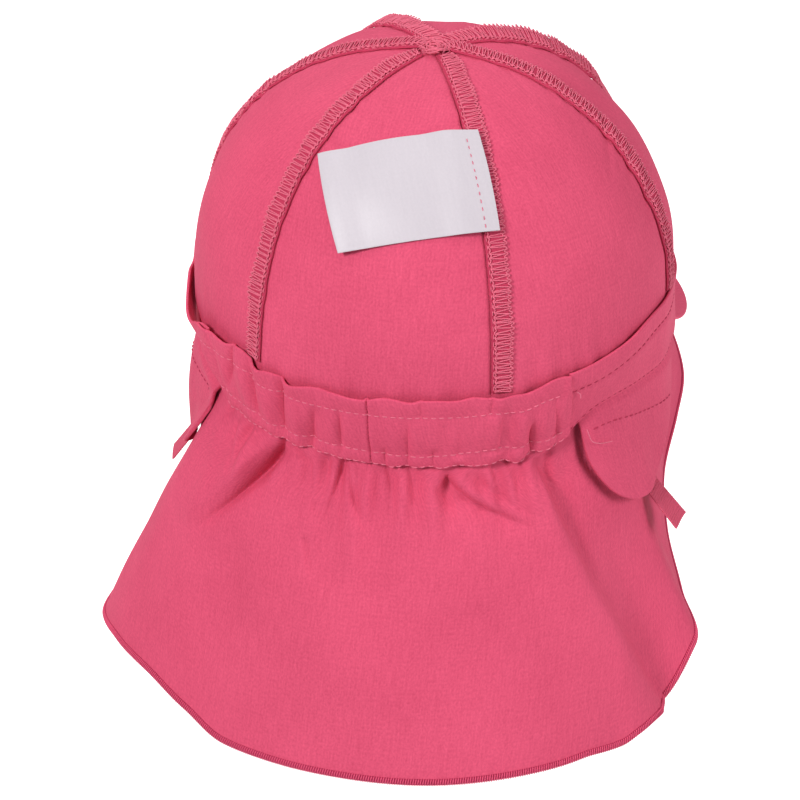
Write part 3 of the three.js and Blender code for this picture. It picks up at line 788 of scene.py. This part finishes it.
def woven_material(name, dark, light, roughness, sheen, weave, slub, bump, specular):
    """Cloth with a plain weave, slubs along both threads and a soft change of colour."""
    material, tree, shader = new_material(name)
    uv = tree.nodes.new("ShaderNodeUVMap")
    uv.uv_map = UV_NAME
    vector = uv.outputs["UV"]
    parts = tree.nodes.new("ShaderNodeSeparateXYZ")
    tree.links.new(vector, parts.inputs["Vector"])
    waves = []
    for axis, pitch in zip("XY", weave):
        turned = calculate(tree, "MULTIPLY", parts.outputs[axis], 2 * math.pi / pitch)
        waves.append(calculate(tree, "SINE", turned))
    checks = calculate(tree, "MULTIPLY", *waves)
    warp = noise_of_cloth(tree, vector, slub, slub * 0.09)
    weft = noise_of_cloth(tree, vector, slub * 0.06, slub)
    grain = noise_of_cloth(tree, vector, 1.7, 1.2)
    cloud = noise_of_cloth(tree, vector, 0.03, 0.03, 2)
    threads = calculate(tree, "ADD", warp, calculate(tree, "MULTIPLY", weft, 0.4))
    fuzzy = calculate(tree, "ADD", threads, calculate(tree, "MULTIPLY", grain, 1.6))
    height = calculate(tree, "ADD", fuzzy, calculate(tree, "MULTIPLY", checks, 0.22))
    tone = calculate(tree, "MULTIPLY_ADD", fuzzy, TONE, -TONE)
    shade = calculate(tree, "ADD", tone, calculate(tree, "MULTIPLY", cloud, 0.5))
    shade.node.use_clamp = True
    colour = tree.nodes.new("ShaderNodeMix")
    colour.data_type = "RGBA"
    set_inputs(colour, {"A": (*dark, 1), "B": (*light, 1)})
    tree.links.new(shade, colour.inputs["Factor"])
    relief = tree.nodes.new("ShaderNodeBump")
    set_inputs(relief, {"Strength": bump, "Distance": BUMP_DISTANCE})
    tree.links.new(height, relief.inputs["Height"])
    tree.links.new(colour.outputs["Result"], shader.inputs["Base Color"])
    tree.links.new(relief.outputs["Normal"], shader.inputs["Normal"])
    set_inputs(shader, {
        "Roughness": roughness,
        "Specular IOR Level": specular,
        "Sheen Weight": sheen,
        "Sheen Roughness": SHEEN_ROUGHNESS,
        "Sheen Tint": (*light, 1),
    })
    return material


materials = {name: woven_material(name, *looks) for name, (_, *looks) in CLOTHS.items()}


# Meshes
def fine_ends(count, length, wall):
    """Shares from 0 to 1, closer together near both ends, where the cloth's edge is rounded."""
    edge = wall / 2 / length
    ends = (1 - np.cos(np.radians([0, 25, 50, 72]))) * edge
    return np.concatenate([ends, np.linspace(edge, 1 - edge, count), 1 - ends[::-1]])


def add_object(name, data):
    thing = bpy.data.objects.new(name, data)
    bpy.context.scene.collection.objects.link(thing)
    return thing


def add_piece(name, points, quads, uv, material, node=None, triangles=None):
    """A mesh of a cloth or thread from CLOTHS, which stands for a node if one is given."""
    mesh = bpy.data.meshes.new(name)
    quads = np.asarray(quads, dtype=np.int32).reshape(-1, 4)
    corners = quads.ravel()
    starts = np.arange(0, quads.size, 4)
    if triangles is not None:
        starts = np.concatenate([starts, quads.size + np.arange(0, triangles.size, 3)])
        corners = np.concatenate([corners, triangles.ravel()])
    mesh.vertices.add(len(points))
    mesh.vertices.foreach_set("co", (points * MM).astype(np.float32).ravel())
    mesh.loops.add(corners.size)
    mesh.loops.foreach_set("vertex_index", corners.astype(np.int32))
    mesh.polygons.add(len(starts))
    mesh.polygons.foreach_set("loop_start", starts.astype(np.int32))
    mesh.update(calc_edges=True)
    mesh.validate()
    layer = mesh.uv_layers.new(name=UV_NAME)
    layer.data.foreach_set("uv", uv[corners].astype(np.float32).ravel())
    mesh.shade_smooth()
    mesh.materials.append(materials[material])
    piece = add_object(name, mesh)
    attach(piece, "root")
    if node:
        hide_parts(node)
    return piece


def lengths(points, axis):
    """Distances along a grid of points from its first row or column."""
    step = np.linalg.norm(np.diff(points, axis=axis), axis=-1)
    start = np.zeros_like(np.take(step, [0], axis=axis))
    return np.concatenate([start, np.cumsum(step, axis=axis)], axis=axis)


def cloth(node, middle, wall, material):
    """A closed sheet about a grid of middle points, with rounded edges, that stands for a node."""
    rows, columns = middle.shape[:2]
    normal = unit(np.cross(np.gradient(middle, axis=1), np.gradient(middle, axis=0)))
    down = lengths(middle, 0)
    across = lengths(middle, 1)
    edge = np.minimum(np.minimum(down, down[-1:] - down), np.minimum(across, across[:, -1:] - across))
    reach = np.clip(edge / (wall / 2), 0, 1)
    half = wall / 2 * np.sqrt(1 - (1 - reach) ** 2)
    outer = middle + normal * half[..., None]
    inner = middle - normal * half[..., None]
    border = np.zeros((rows, columns), dtype=bool)
    border[[0, -1]] = True
    border[:, [0, -1]] = True
    outer_index = np.arange(rows * columns).reshape(rows, columns)
    inner_index = outer_index.copy()
    inner_index[~border] = rows * columns + np.arange(np.count_nonzero(~border))
    points = np.concatenate([outer.reshape(-1, 3), inner[~border]])
    centre = [columns // 2]
    flat = np.stack([across - across[:, centre], down[:, centre] + 0 * down], axis=-1)
    uv = np.concatenate([flat.reshape(-1, 2), flat[~border]])

    quads = []
    corners = []
    for index, order in ((outer_index, [0, 1, 2, 3]), (inner_index, [0, 3, 2, 1])):
        cells = np.stack([index[:-1, :-1], index[:-1, 1:], index[1:, 1:], index[1:, :-1]], axis=-1)
        cells = cells[..., order]
        whole = np.ones(cells.shape[:2], dtype=bool)
        # A corner cell is cut through its corner, so that the two sides of the sheet don't share a face
        for row, column in ((0, 0), (0, -1), (-1, -1), (-1, 0)):
            whole[row, column] = False
            cell = cells[row, column]
            ring = np.roll(cell, -int(np.argmax(cell == index[row, column])))
            corners += [ring[[0, 1, 2]], ring[[0, 2, 3]]]
        quads.append(cells[whole])
    faces = np.concatenate(quads)
    add_piece(f"{node}_cloth", points, faces, uv, material, node, np.array(corners))


def tubes(paths, ups, radius=THREAD_RADIUS, sides=6, flat=1.0):
    """Round threads along paths, an array of threads by points, with directions to one side."""
    ahead = unit(np.gradient(paths, axis=1))
    side = unit(np.cross(ahead, ups))
    up = np.cross(side, ahead)
    count, steps = paths.shape[:2]
    turn = np.arange(sides) * 2 * math.pi / sides
    size = np.full((count, steps), radius)
    size[:, [0, -1]] *= THREAD_TAPER
    ring = np.cos(turn)[:, None] * up[:, :, None] * flat + np.sin(turn)[:, None] * side[:, :, None]
    points = paths[:, :, None] + size[:, :, None, None] * ring
    index = np.arange(count * steps * sides).reshape(count, steps, sides)
    here = index[:, :-1]
    there = index[:, 1:]
    wall = np.stack([here, np.roll(here, -1, 2), np.roll(there, -1, 2), there], axis=-1).reshape(-1, 4)
    caps = []
    for k in range(1, sides - 2, 2):
        caps.append(index[:, -1][:, [0, k, k + 1, k + 2]])
        caps.append(index[:, 0][:, [0, k + 2, k + 1, k]])
    along = lengths(paths, 1)[:, :, None] + 0 * turn
    uv = np.stack(np.broadcast_arrays(along, turn * radius), axis=-1).reshape(-1, 2)
    return points.reshape(-1, 3), np.concatenate([wall, *caps]), uv


def add_threads(name, groups, material):
    """One piece of several groups of threads."""
    offsets = np.cumsum([0] + [len(points) for points, _, _ in groups])
    points = np.concatenate([group[0] for group in groups])
    quads = np.concatenate([group[1] + offset for group, offset in zip(groups, offsets)])
    uv = np.concatenate([group[2] for group in groups])
    add_piece(name, points, quads, uv, material)


def surface_normal(surface, p, q, steps):
    """The direction out of a surface that is given by two values."""
    step_p, step_q = steps
    along_p = surface(p + step_p, q) - surface(p - step_p, q)
    along_q = surface(p, q + step_q) - surface(p, q - step_q)
    normal = unit(np.cross(along_p, along_q))
    outwards = surface(p, q) * np.array([1, 1, 0.6])
    return normal * np.where((normal * outwards).sum(-1, keepdims=True) < 0, -1, 1)


def stitches(surface, p, q, lift, seed, pitch=2.3, share=0.8, radius=THREAD_RADIUS, steps=SLOPE_STEPS):
    """Dashes of thread along a line on a surface, sinking into it at both ends."""
    draw = np.random.default_rng(seed)
    length = lengths(surface(p, q), 0)
    count = int(length[-1] // pitch)
    start = (np.arange(count) + draw.uniform(-0.06, 0.06, count)) * pitch
    sink = np.array([-0.3, 0.02, 0.1, 0.1, 0.02, -0.3])
    at = start[:, None] + pitch * share * np.linspace(0, 1, len(sink))
    dash_p = np.interp(at, length, p)
    dash_q = np.interp(at, length, q)
    normal = surface_normal(surface, dash_p, dash_q, steps)
    height = lift + sink + draw.uniform(-0.05, 0.05, (count, 1))
    return tubes(surface(dash_p, dash_q) + normal * height[..., None], normal, radius)


# Crown panels
def panel_grid(start, end):
    columns = fine_ends(64, arc_length(end - start), CROWN_WALL)
    top_rise = rise_at_radius(start, APEX_HOLE_RADIUS)
    wall_heights = np.array([0, 0.03, 0.15, 0.4, 1.5, 3, 4.5]) + CROWN_LOWER_EDGE
    rises = top_rise * np.concatenate([np.linspace(0, 0.985, 84), [0.99, 0.995, 0.999, 1]])
    rows = []
    for height in wall_heights:
        angle = mix(start, end, columns)
        radius = head_radius(angle) + band_lean(wrapped(angle)) * height + crown_relief(angle, 0 * angle)
        rows.append(around(angle, radius - CROWN_WALL / 2, height))
    for rise in rises:
        radius = head_radius(start) * dome_share(rise)
        margin = np.degrees(PANEL_MARGIN / radius)
        angle = mix(start + margin, end - margin, columns)
        rows.append(crown_point(angle, rise + 0 * angle, crown_relief(angle, rise) - CROWN_WALL / 2))
    return np.stack(rows)


for i, panel in enumerate(PANEL_NAMES):
    cloth(f"crown_panel_{panel}", panel_grid(SEAM_ANGLES[i], SEAM_ANGLES[i + 1]), CROWN_WALL, "cotton")


# Seam allowances with their overlock threads
def seam_surface(seam_index):
    name, seam_angle, side, start, stand = SEAMS[seam_index]
    sway = ripples_along(100 + seam_index, 9, 25)
    top_rise = rise_at_radius(seam_angle, start)
    base = head_radius(seam_angle)
    low_angle = seam_angle + side * np.degrees(SEAM_WIDTH / 2 / base)
    low_rise = rise_at_height(band_top(wrapped(low_angle)) + SEAM_END_CLEARANCE)
    top_lift = SEAM_TOP_LIFT if name in ("left", "right") else 0

    def surface(across, along, lift):
        rise = mix(low_rise, top_rise, along)
        free = across / SEAM_WIDTH
        sideways = across + 0.3 * sway(along * 100) * free
        angle = seam_angle + side * np.degrees(sideways / (base * dome_share(rise)))
        up = SEAM_LIFT + stand * arch(along) ** 0.5 * free + 0.2 * sway(along * 100 + 30) * free
        up = up + top_lift * smoothstep(along, 0.9, 1)
        return crown_point(angle, rise, up + lift + crown_relief(angle, rise))

    return surface


def seam_threads(seam_index, surface):
    draw = np.random.default_rng(200 + seam_index)
    fine = np.linspace(0, 1, 600)
    length = lengths(surface(np.full(600, SEAM_WIDTH / 2), fine, 0), 0)
    count = int(length[-1] / RUNG_PITCH)
    middle = (np.arange(count) + 0.5 + draw.uniform(-0.14, 0.14, count)) * RUNG_PITCH
    groups = []

    def add_group(wide, at, up, radius):
        share = np.interp(at, length, fine)
        place = surface(wide, share, up)
        groups.append(tubes(place, unit(surface(wide, share, up + 0.1) - place), radius))

    # Bars across the allowance, in pairs that lean towards each other, wrapped over the free edge
    across = np.array([RUNG_START, 1.2, 2.2, 3.2, 4.2, 5.0, 5.45, 5.5])
    lift = np.array([0.15, 0.5, 0.5, 0.47, 0.5, 0.45, 0.2, -0.25])
    lean = RUNG_LEAN * draw.uniform(0.1, 0.5, (count, 1)) * RUNG_PITCH
    for sign in (-1, 1):
        at = middle[:, None] + sign * (lean * (across - RUNG_START) / RUNG_SPAN + RUNG_GAP)
        add_group(across + draw.uniform(-0.12, 0.12, (count, 1)), at, lift, THREAD_RADIUS)
    # Looper threads: scallops along the free edge, a chain along the seam line
    at = np.arange(0.4, length[-1] - 0.4, RUNG_PITCH / 7)[None]
    turn = 2 * math.pi * at / RUNG_PITCH
    for edge, wave, height, radius in ((5.6, 0.5, 0.25, 0.2), (SEAM_CHAIN, 0.2, 0.5, 0.19)):
        wide = edge + wave * np.cos(turn) + 0.1 * np.cos(turn * 0.37)
        add_group(wide, at, height + 0.14 * np.sin(turn), radius)
    # Needle thread beside the fold
    at = np.arange(0.6, length[-1] - 2.4, 2.3)[:, None] + np.linspace(0, 1.7, 5)
    add_group(0.45, at, np.array([0.1, 0.42, 0.46, 0.42, 0.1]), 0.16)
    return groups


for i, seam in enumerate(SEAMS):
    node_name = f"crown_seam_{seam[0]}"
    surface = seam_surface(i)
    across = fine_ends(12, SEAM_WIDTH - 0.2, SEAM_WALL) * (SEAM_WIDTH - 0.2)
    wide, far = np.meshgrid(across, fine_ends(170, SEAM_LENGTH, SEAM_WALL))
    ribs = 0.1 * np.cos(2 * math.pi * far * SEAM_LENGTH / RUNG_PITCH)
    ridge = ribs - 0.2 * bell(wide - SEAM_CHAIN, 0.35)
    grid = surface(wide, far, ridge * np.clip(wide, 0, 1))
    if seam[2] > 0:
        grid = grid[:, ::-1]
    # The strip's cloth is painted darker as shade, so the gaps between its threads read as shadow
    cloth(node_name, grid, SEAM_WALL, "allowance_painted_shade")
    add_threads(f"{node_name}_threads", seam_threads(i, surface), "overlock_thread")


# Crossing threads where the seams meet at the top
def apex_threads():
    draw = np.random.default_rng(41)
    count = 46
    turn = draw.uniform(0, 2 * math.pi, (count, 1))
    sweep = draw.uniform(0.8, 2.6, (count, 1)) * draw.choice([-1, 1], (count, 1))
    t = np.linspace(0, 1, 9)[None]
    reach = draw.uniform(1.2, 5.2, (count, 1)) * (1 - 0.35 * arch(t))
    x = reach * np.cos(turn + sweep * t)
    y = reach * np.sin(turn + sweep * t)
    place = on_crown(x, y, draw.uniform(0.7, 1.6, (count, 1)) + 0.35 * arch(t))
    upwards = np.zeros_like(place)
    upwards[..., 2] = 1
    # Straight threads over the middle, where the six panels' points meet
    count = 7
    turn = np.linspace(0, math.pi, count + 1)[:-1, None]
    reach = np.linspace(-2.6, 2.6, 9)[None]
    aside = draw.uniform(-0.35, 0.35, (count, 1))
    x = reach * np.cos(turn) - aside * np.sin(turn)
    y = reach * np.sin(turn) + aside * np.cos(turn)
    over = on_crown(x, y, 0.35 + 0.1 * np.arange(count)[:, None] + 0 * x)
    return [tubes(place, upwards, 0.17), tubes(over, upwards[:count], 0.38)]


add_threads("crown_top_threads", apex_threads(), "overlock_thread")


# Band
def casing_grid():
    heights = fine_ends(44, CASING_HEIGHT, BAND_WALL)[::-1]
    across, up = np.meshgrid(fine_ends(430, CASING_LENGTH, BAND_WALL), heights)
    left, right = casing_ends(up)
    return casing_point(mix(left, right, across), up)[:, ::-1]


def front_band_grid():
    start = CASING_HALF_ANGLE - 0.4
    angle = mix(360 - start, start, fine_ends(300, BAND_LENGTH, BAND_WALL))
    across, up = np.meshgrid(angle, fine_ends(56, BAND_HEIGHT, BAND_WALL)[::-1])
    return front_band_point(across, up)


def casing_threads():
    waver = ripples_along(51, 20, 60)
    groups = []
    for seed, share, sway, lift in ((1, LINE_A, 0.015, 0), (2, LINE_B, 0.035, 0), (3, LINE_C, 0.01, 0.05)):
        left, right = casing_ends(share)
        line = np.linspace(left + 0.8, right - 0.8, 900)
        level = share + sway * waver(line + 40 * seed)
        groups.append(stitches(casing_point, line, level, BAND_WALL / 2 + lift, seed))
    return groups


def join_threads():
    """The back join of the casing: a sunk row of short stitches."""
    up = np.linspace(0.03, 0.97, 200)
    line = np.full(200, JOIN_ANGLE)
    return [stitches(casing_point, line, up, BAND_WALL / 2 + 0.35, 4, pitch=1.9, share=0.85, radius=0.3)]


def front_band_threads():
    start = CASING_HALF_ANGLE + 0.6
    line = np.linspace(start, 360 - start, 1600)
    tall = band_top(wrapped(line)) - band_rim(wrapped(line))
    half = BAND_WALL / 2
    upper = stitches(front_band_point, line, 1 - BAND_UPPER_LINE / tall, half, 5, pitch=2.7)
    low_line = BAND_LOWER_LINE / tall
    lower = stitches(front_band_point, line, low_line, half - 0.06, 6, pitch=2.5, share=0.7, radius=0.17)
    return [upper, lower]


cloth("band_back_casing", casing_grid(), BAND_WALL, "cotton")
cloth("band_front", front_band_grid(), BAND_WALL, "cotton")
add_threads("band_back_casing_threads", casing_threads(), "topstitch_thread")
# These threads are painted darker: thread colour plus painted shade of the sunk stitches
add_threads("band_back_join_threads", join_threads(), "band_thread_painted_shade")
add_threads("band_front_threads", front_band_threads(), "band_thread_painted_shade")


# Neck flap with its rolled hem
def flap_angles():
    side = np.linspace(CASING_HALF_ANGLE, FLAP_HALF_ANGLE - 0.3, 64)[1:]
    ends = FLAP_HALF_ANGLE - np.array([0.15, 0.05, 0])
    back = np.linspace(-CASING_HALF_ANGLE, CASING_HALF_ANGLE, 280)
    return np.concatenate([-ends[::-1], -side[::-1], back, side, ends])


def flap_shares():
    tuck = np.array([-1, -0.95, -0.85, -0.6, -0.3])
    body = np.concatenate([np.linspace(0, 0.5, 80), np.linspace(0.5, 0.99, 26)[1:]])
    return np.concatenate([tuck, body, [0.994, 0.997, 0.999, 1]])


across, down = np.meshgrid(flap_angles()[::-1], flap_shares())
cloth("neck_flap", flap_point(across, down), FLAP_WALL, "cotton")


def hem_line(pitch):
    """Places along the flap's free edge, with the directions inwards, out of the cloth and along."""
    angle = np.concatenate([
        np.full(30, -FLAP_HALF_ANGLE),
        np.linspace(-FLAP_HALF_ANGLE, FLAP_HALF_ANGLE, 3000),
        np.full(30, FLAP_HALF_ANGLE),
    ])
    share = np.concatenate([np.linspace(0.1, 0.99, 30), np.ones(3000), np.linspace(0.99, 0.1, 30)])
    length = lengths(flap_point(angle, share), 0)
    at = np.arange(0, length[-1], pitch)
    angle = np.interp(at, length, angle)
    share = np.interp(at, length, share)
    place = flap_point(angle, share)
    inwards = unit(flap_point(angle, np.clip(share - 0.012, 0, 1)) - place)
    normal = surface_normal(flap_point, angle, np.minimum(share, 0.99), SLOPE_STEPS)
    return place, inwards, normal, unit(np.gradient(place, axis=0))


def hem_core():
    """The flat rolled core of the hem, painted dark as the shadow along the hem's edge."""
    place, inwards, normal, _ = hem_line(0.5)
    core = place + 0.45 * HEM_WIDTH * inwards
    return [tubes(core[None], normal[None], HEM_WIDTH / 2 + 0.1, sides=10, flat=0.5)]


def hem_rungs():
    """Close threads across the hem, wrapped round its edge."""
    place, inwards, normal, along = (rows[:, None] for rows in hem_line(HEM_PITCH))
    inset = np.array([HEM_WIDTH - 0.2, 0.75 * HEM_WIDTH, 0.4 * HEM_WIDTH, 0.1, -0.35, -0.2])[:, None]
    lift = np.array([0.3, 0.5, 0.56, 0.5, 0.1, -0.4])[:, None]
    path = place + inwards * inset + normal * lift + along * 0.2 * inset
    return [tubes(path, normal + 0 * path, 0.2)]


add_threads("neck_flap_hem", hem_core(), "hem_core_painted_shade")
add_threads("neck_flap_hem_rungs", hem_rungs(), "hem_thread")


# Ear flaps and ribbon ends
def ear_grid(ear):
    spread = -np.sin((np.linspace(0, 1, 90) - 0.5) * math.pi)
    skewed = spread + ear["skew"] * (1 - spread * spread)
    rounded = (1 - np.abs(skewed) ** EAR_ROUNDNESS) ** (1 / EAR_ROUNDNESS)
    low = ear["drop"] * mix(EAR_STRAIGHT_SIDE, 1, rounded)
    across, down = np.meshgrid(spread, fine_ends(48, ear["drop"], EAR_WALL))
    return ear_surface(ear)(across, mix(-0.5, low[None], down))


def ear_threads(ear, seed):
    line = np.linspace(-0.86, 0.86, 400)
    drop = EAR_STITCH_DROP + EAR_STITCH_SLOPE * line * np.sign(ear["centre"])
    half = EAR_WALL / 2
    return [stitches(ear_surface(ear), line, drop, half, seed, pitch=2.6, radius=0.19, steps=(0.002, 0.05))]


def ribbon_grid(ear):
    middle = ear_angle(ear, 0, ear["drop"])
    rim = band_rim(middle)
    turn = math.radians(ear["turn"])
    start_drop = ear["drop"] - RIBBON_TUCK
    turn_drop = ear["drop"] + RIBBON_CLEARANCE + 0.8
    wide = (fine_ends(14, RIBBON_WIDTH, RIBBON_WALL) - 0.5) * RIBBON_WIDTH
    spread = -np.degrees(wide / head_radius(middle)) / ear["half"]
    turn_radius = ear_inner_radius(ear, spread, ear["drop"]) - RIBBON_CLEARANCE
    start_radius = ear_inner_radius(ear, spread, start_drop) - RIBBON_CLEARANCE
    rows = []
    for at in fine_ends(150, RIBBON_LENGTH, RIBBON_WALL) * RIBBON_LENGTH:
        tuck = min(at / RIBBON_TUCK, 1)
        free = max(at - RIBBON_TUCK, 0)
        radius = mix(start_radius, turn_radius, tuck) + free * math.sin(turn)
        height = rim - mix(start_drop, turn_drop, tuck) - free * math.cos(turn)
        rib = RIB_HEIGHT * math.sin(2 * math.pi * at / RIB_PITCH)
        rows.append(around(middle + ear["half"] * spread, radius + rib - RIBBON_WALL / 2, height))
    return np.stack(rows)


for seed, (side_name, ear) in enumerate(EARS.items()):
    node_name = f"ear_flap_{side_name}"
    cloth(node_name, ear_grid(ear), EAR_WALL, "cotton")
    add_threads(f"{node_name}_threads", ear_threads(ear, 60 + seed), "band_thread_painted_shade")
    cloth(f"tie_ribbon_{side_name}", ribbon_grid(ear), RIBBON_WALL, "grosgrain")


# Peak
def peak_reach(spread):
    return mix(PEAK_DEPTH, PEAK_END_DEPTH, np.abs(spread) ** PEAK_ROUNDNESS)


def peak_point(spread, share):
    angle = 180 + PEAK_HALF_ANGLE * spread
    rim = band_rim(wrapped(angle))
    reach = share * peak_reach(spread)
    slope = np.radians(mix(PEAK_SLOPE, PEAK_SIDE_SLOPE, spread * spread))
    out = band_inner_radius(angle, rim) + PEAK_SEAM_OFFSET + reach * np.cos(slope)
    root = PEAK_ROOT_LIFT * np.exp(-reach / PEAK_ROOT_LENGTH)
    return around(angle, out, rim - PEAK_DROP + root - reach * np.sin(slope) - PEAK_WALL / 2)


spreads = fine_ends(110, PEAK_WIDTH, PEAK_WALL) * 2 - 1
across, down = np.meshgrid(spreads, fine_ends(40, PEAK_DEPTH, PEAK_WALL))
cloth("peak", peak_point(across, down), PEAK_WALL, "cotton")
line = np.linspace(-0.72, 0.72, 800)
level = 1 - PEAK_STITCH_INSET / peak_reach(line)
rows = stitches(peak_point, line, level, PEAK_WALL / 2, 71, pitch=2.6, radius=0.19, steps=(0.002, 0.004))
add_threads("peak_threads", [rows], "topstitch_thread")

# Label
across, up = np.meshgrid(fine_ends(60, LABEL_WIDTH, LABEL_WALL), fine_ends(40, LABEL_HEIGHT, LABEL_WALL))
cloth("label", label_point(across, up), LABEL_WALL, "satin")
line = np.linspace(0.03, 0.97, 300)
level = np.full(300, LABEL_STITCH_SHARE)
rows = stitches(label_point, level, line, LABEL_WALL / 2, 81, share=0.6, radius=0.13, steps=(0.002, 0.002))
add_threads("label_threads", [rows], "topstitch_thread")


# Loose thread ends at the right end of the casing
def loose_thread(points, count=26):
    """One soft thread through a few points, each an angle, a height and a depth over the band."""
    rows = np.array(points, dtype=float)
    at = np.linspace(0, len(rows) - 1, count)
    curve = [table_curve(list(zip(range(len(rows)), rows[:, k])), 1)(at) for k in range(3)]
    place = around(curve[0], head_radius(curve[0]) + curve[2], curve[1])
    normal = unit(place * np.array([1, 1, 0]))
    return tubes(place[None], normal[None], 0.15)


LOOSE_TAIL = [
    (52.4, -16.6, 1.0),
    (52.6, -18.4, 1.9),
    (53.4, -20.6, 2.1),
    (55.6, -22.4, 2.2),
    (60.2, -24.2, 2.0),
]
LOOSE_NUB = [(48.6, -2.2, 1.6), (49.4, -3.0, 2.2), (49.6, -4.6, 2.0)]
add_threads("loose_thread_ends", [loose_thread(LOOSE_TAIL), loose_thread(LOOSE_NUB, 12)], "topstitch_thread")

# Floor, light and camera
FLOOR_HEIGHT = -0.33
FLOOR_HALF = 6
FLOOR_SHADE = 0.8
FLOOR_ROUGHNESS = 0.9
FLOOR_GLOW = 0.1
SPOT_CENTRE = (0.17, -0.78)
SPOT_INNER = 0.55
SPOT_OUTER = 1.2
SPOT_GLOW = 0.75
WORLD_STRENGTH = 0.22
WHITE = (1, 1, 1, 1)

# Softboxes: name, azimuth, elevation, distance, size and power
LIGHTS = [
    ("key_softbox", -24, 36, 1.2, 0.3, 11.2),
    ("right_softbox", 82, 22, 1.3, 0.7, 9),
    ("top_softbox", -20, 82, 1.2, 0.6, 3),
    ("rim_softbox", -145, 38, 1.2, 0.6, 5.5),
]
CAMERA_AZIMUTH = 15.2
CAMERA_ELEVATION = 31
CAMERA_DISTANCE = 0.9
CAMERA_SHIFT = (-0.00972, -0.03555)
CAMERA_LENS = 135
CAMERA_SENSOR = 36


def add_floor():
    """A wide pale floor that glows as painted light, brightest in a spot behind the object as the camera
    sees it.
    """
    mesh = bpy.data.meshes.new("floor")
    sides = [(-1, -1), (1, -1), (1, 1), (-1, 1)]
    mesh.from_pydata([(x * FLOOR_HALF, y * FLOOR_HALF, FLOOR_HEIGHT) for x, y in sides], [], [range(4)])
    material, tree, shader = new_material("floor")
    set_inputs(shader, {
        "Base Color": (FLOOR_SHADE, FLOOR_SHADE, FLOOR_SHADE, 1),
        "Roughness": FLOOR_ROUGHNESS,
        "Emission Color": WHITE,
    })
    place = tree.nodes.new("ShaderNodeNewGeometry")
    distance = tree.nodes.new("ShaderNodeVectorMath")
    distance.operation = "DISTANCE"
    distance.inputs[1].default_value = (*SPOT_CENTRE, FLOOR_HEIGHT)
    tree.links.new(place.outputs["Position"], distance.inputs[0])
    fade = tree.nodes.new("ShaderNodeMapRange")
    fade.interpolation_type = "SMOOTHSTEP"
    set_inputs(fade, {
        "From Min": SPOT_INNER, "From Max": SPOT_OUTER, "To Min": SPOT_GLOW, "To Max": FLOOR_GLOW
    })
    tree.links.new(distance.outputs["Value"], fade.inputs["Value"])
    tree.links.new(fade.outputs["Result"], shader.inputs["Emission Strength"])
    mesh.materials.append(material)
    add_object("floor", mesh)


def add_facing(name, data, azimuth, elevation, distance, target=(0, 0, 0)):
    """A light or camera that faces a target; its azimuth is measured as angles round the head are."""
    tilt = math.radians(elevation)
    thing = add_object(name, data)
    thing.location = target + around(azimuth, distance * math.cos(tilt), distance * math.sin(tilt))
    thing.rotation_euler = (math.pi / 2 - tilt, 0, math.pi + math.radians(azimuth))
    return thing


add_floor()
for name, azimuth, elevation, distance, size, power in LIGHTS:
    lamp = bpy.data.lights.new(name, "AREA")
    lamp.shape = "DISK"
    lamp.size = size
    lamp.energy = power
    add_facing(name, lamp, azimuth, elevation, distance)
world = bpy.data.worlds.new("studio")
world.use_nodes = True
set_inputs(world.node_tree.nodes["Background"], {"Color": WHITE, "Strength": WORLD_STRENGTH})
bpy.context.scene.world = world
bpy.context.scene.view_settings.view_transform = "Standard"

tilt = math.radians(CAMERA_ELEVATION)
right = around(CAMERA_AZIMUTH + 90, 1, 0)
above = around(CAMERA_AZIMUTH + 180, math.sin(tilt), math.cos(tilt))
target = CAMERA_SHIFT[0] * right + CAMERA_SHIFT[1] * above
camera_data = bpy.data.cameras.new("camera")
camera_data.lens = CAMERA_LENS
camera_data.sensor_width = CAMERA_SENSOR
camera = add_facing("camera", camera_data, CAMERA_AZIMUTH, CAMERA_ELEVATION, CAMERA_DISTANCE, target)
bpy.context.scene.camera = camera
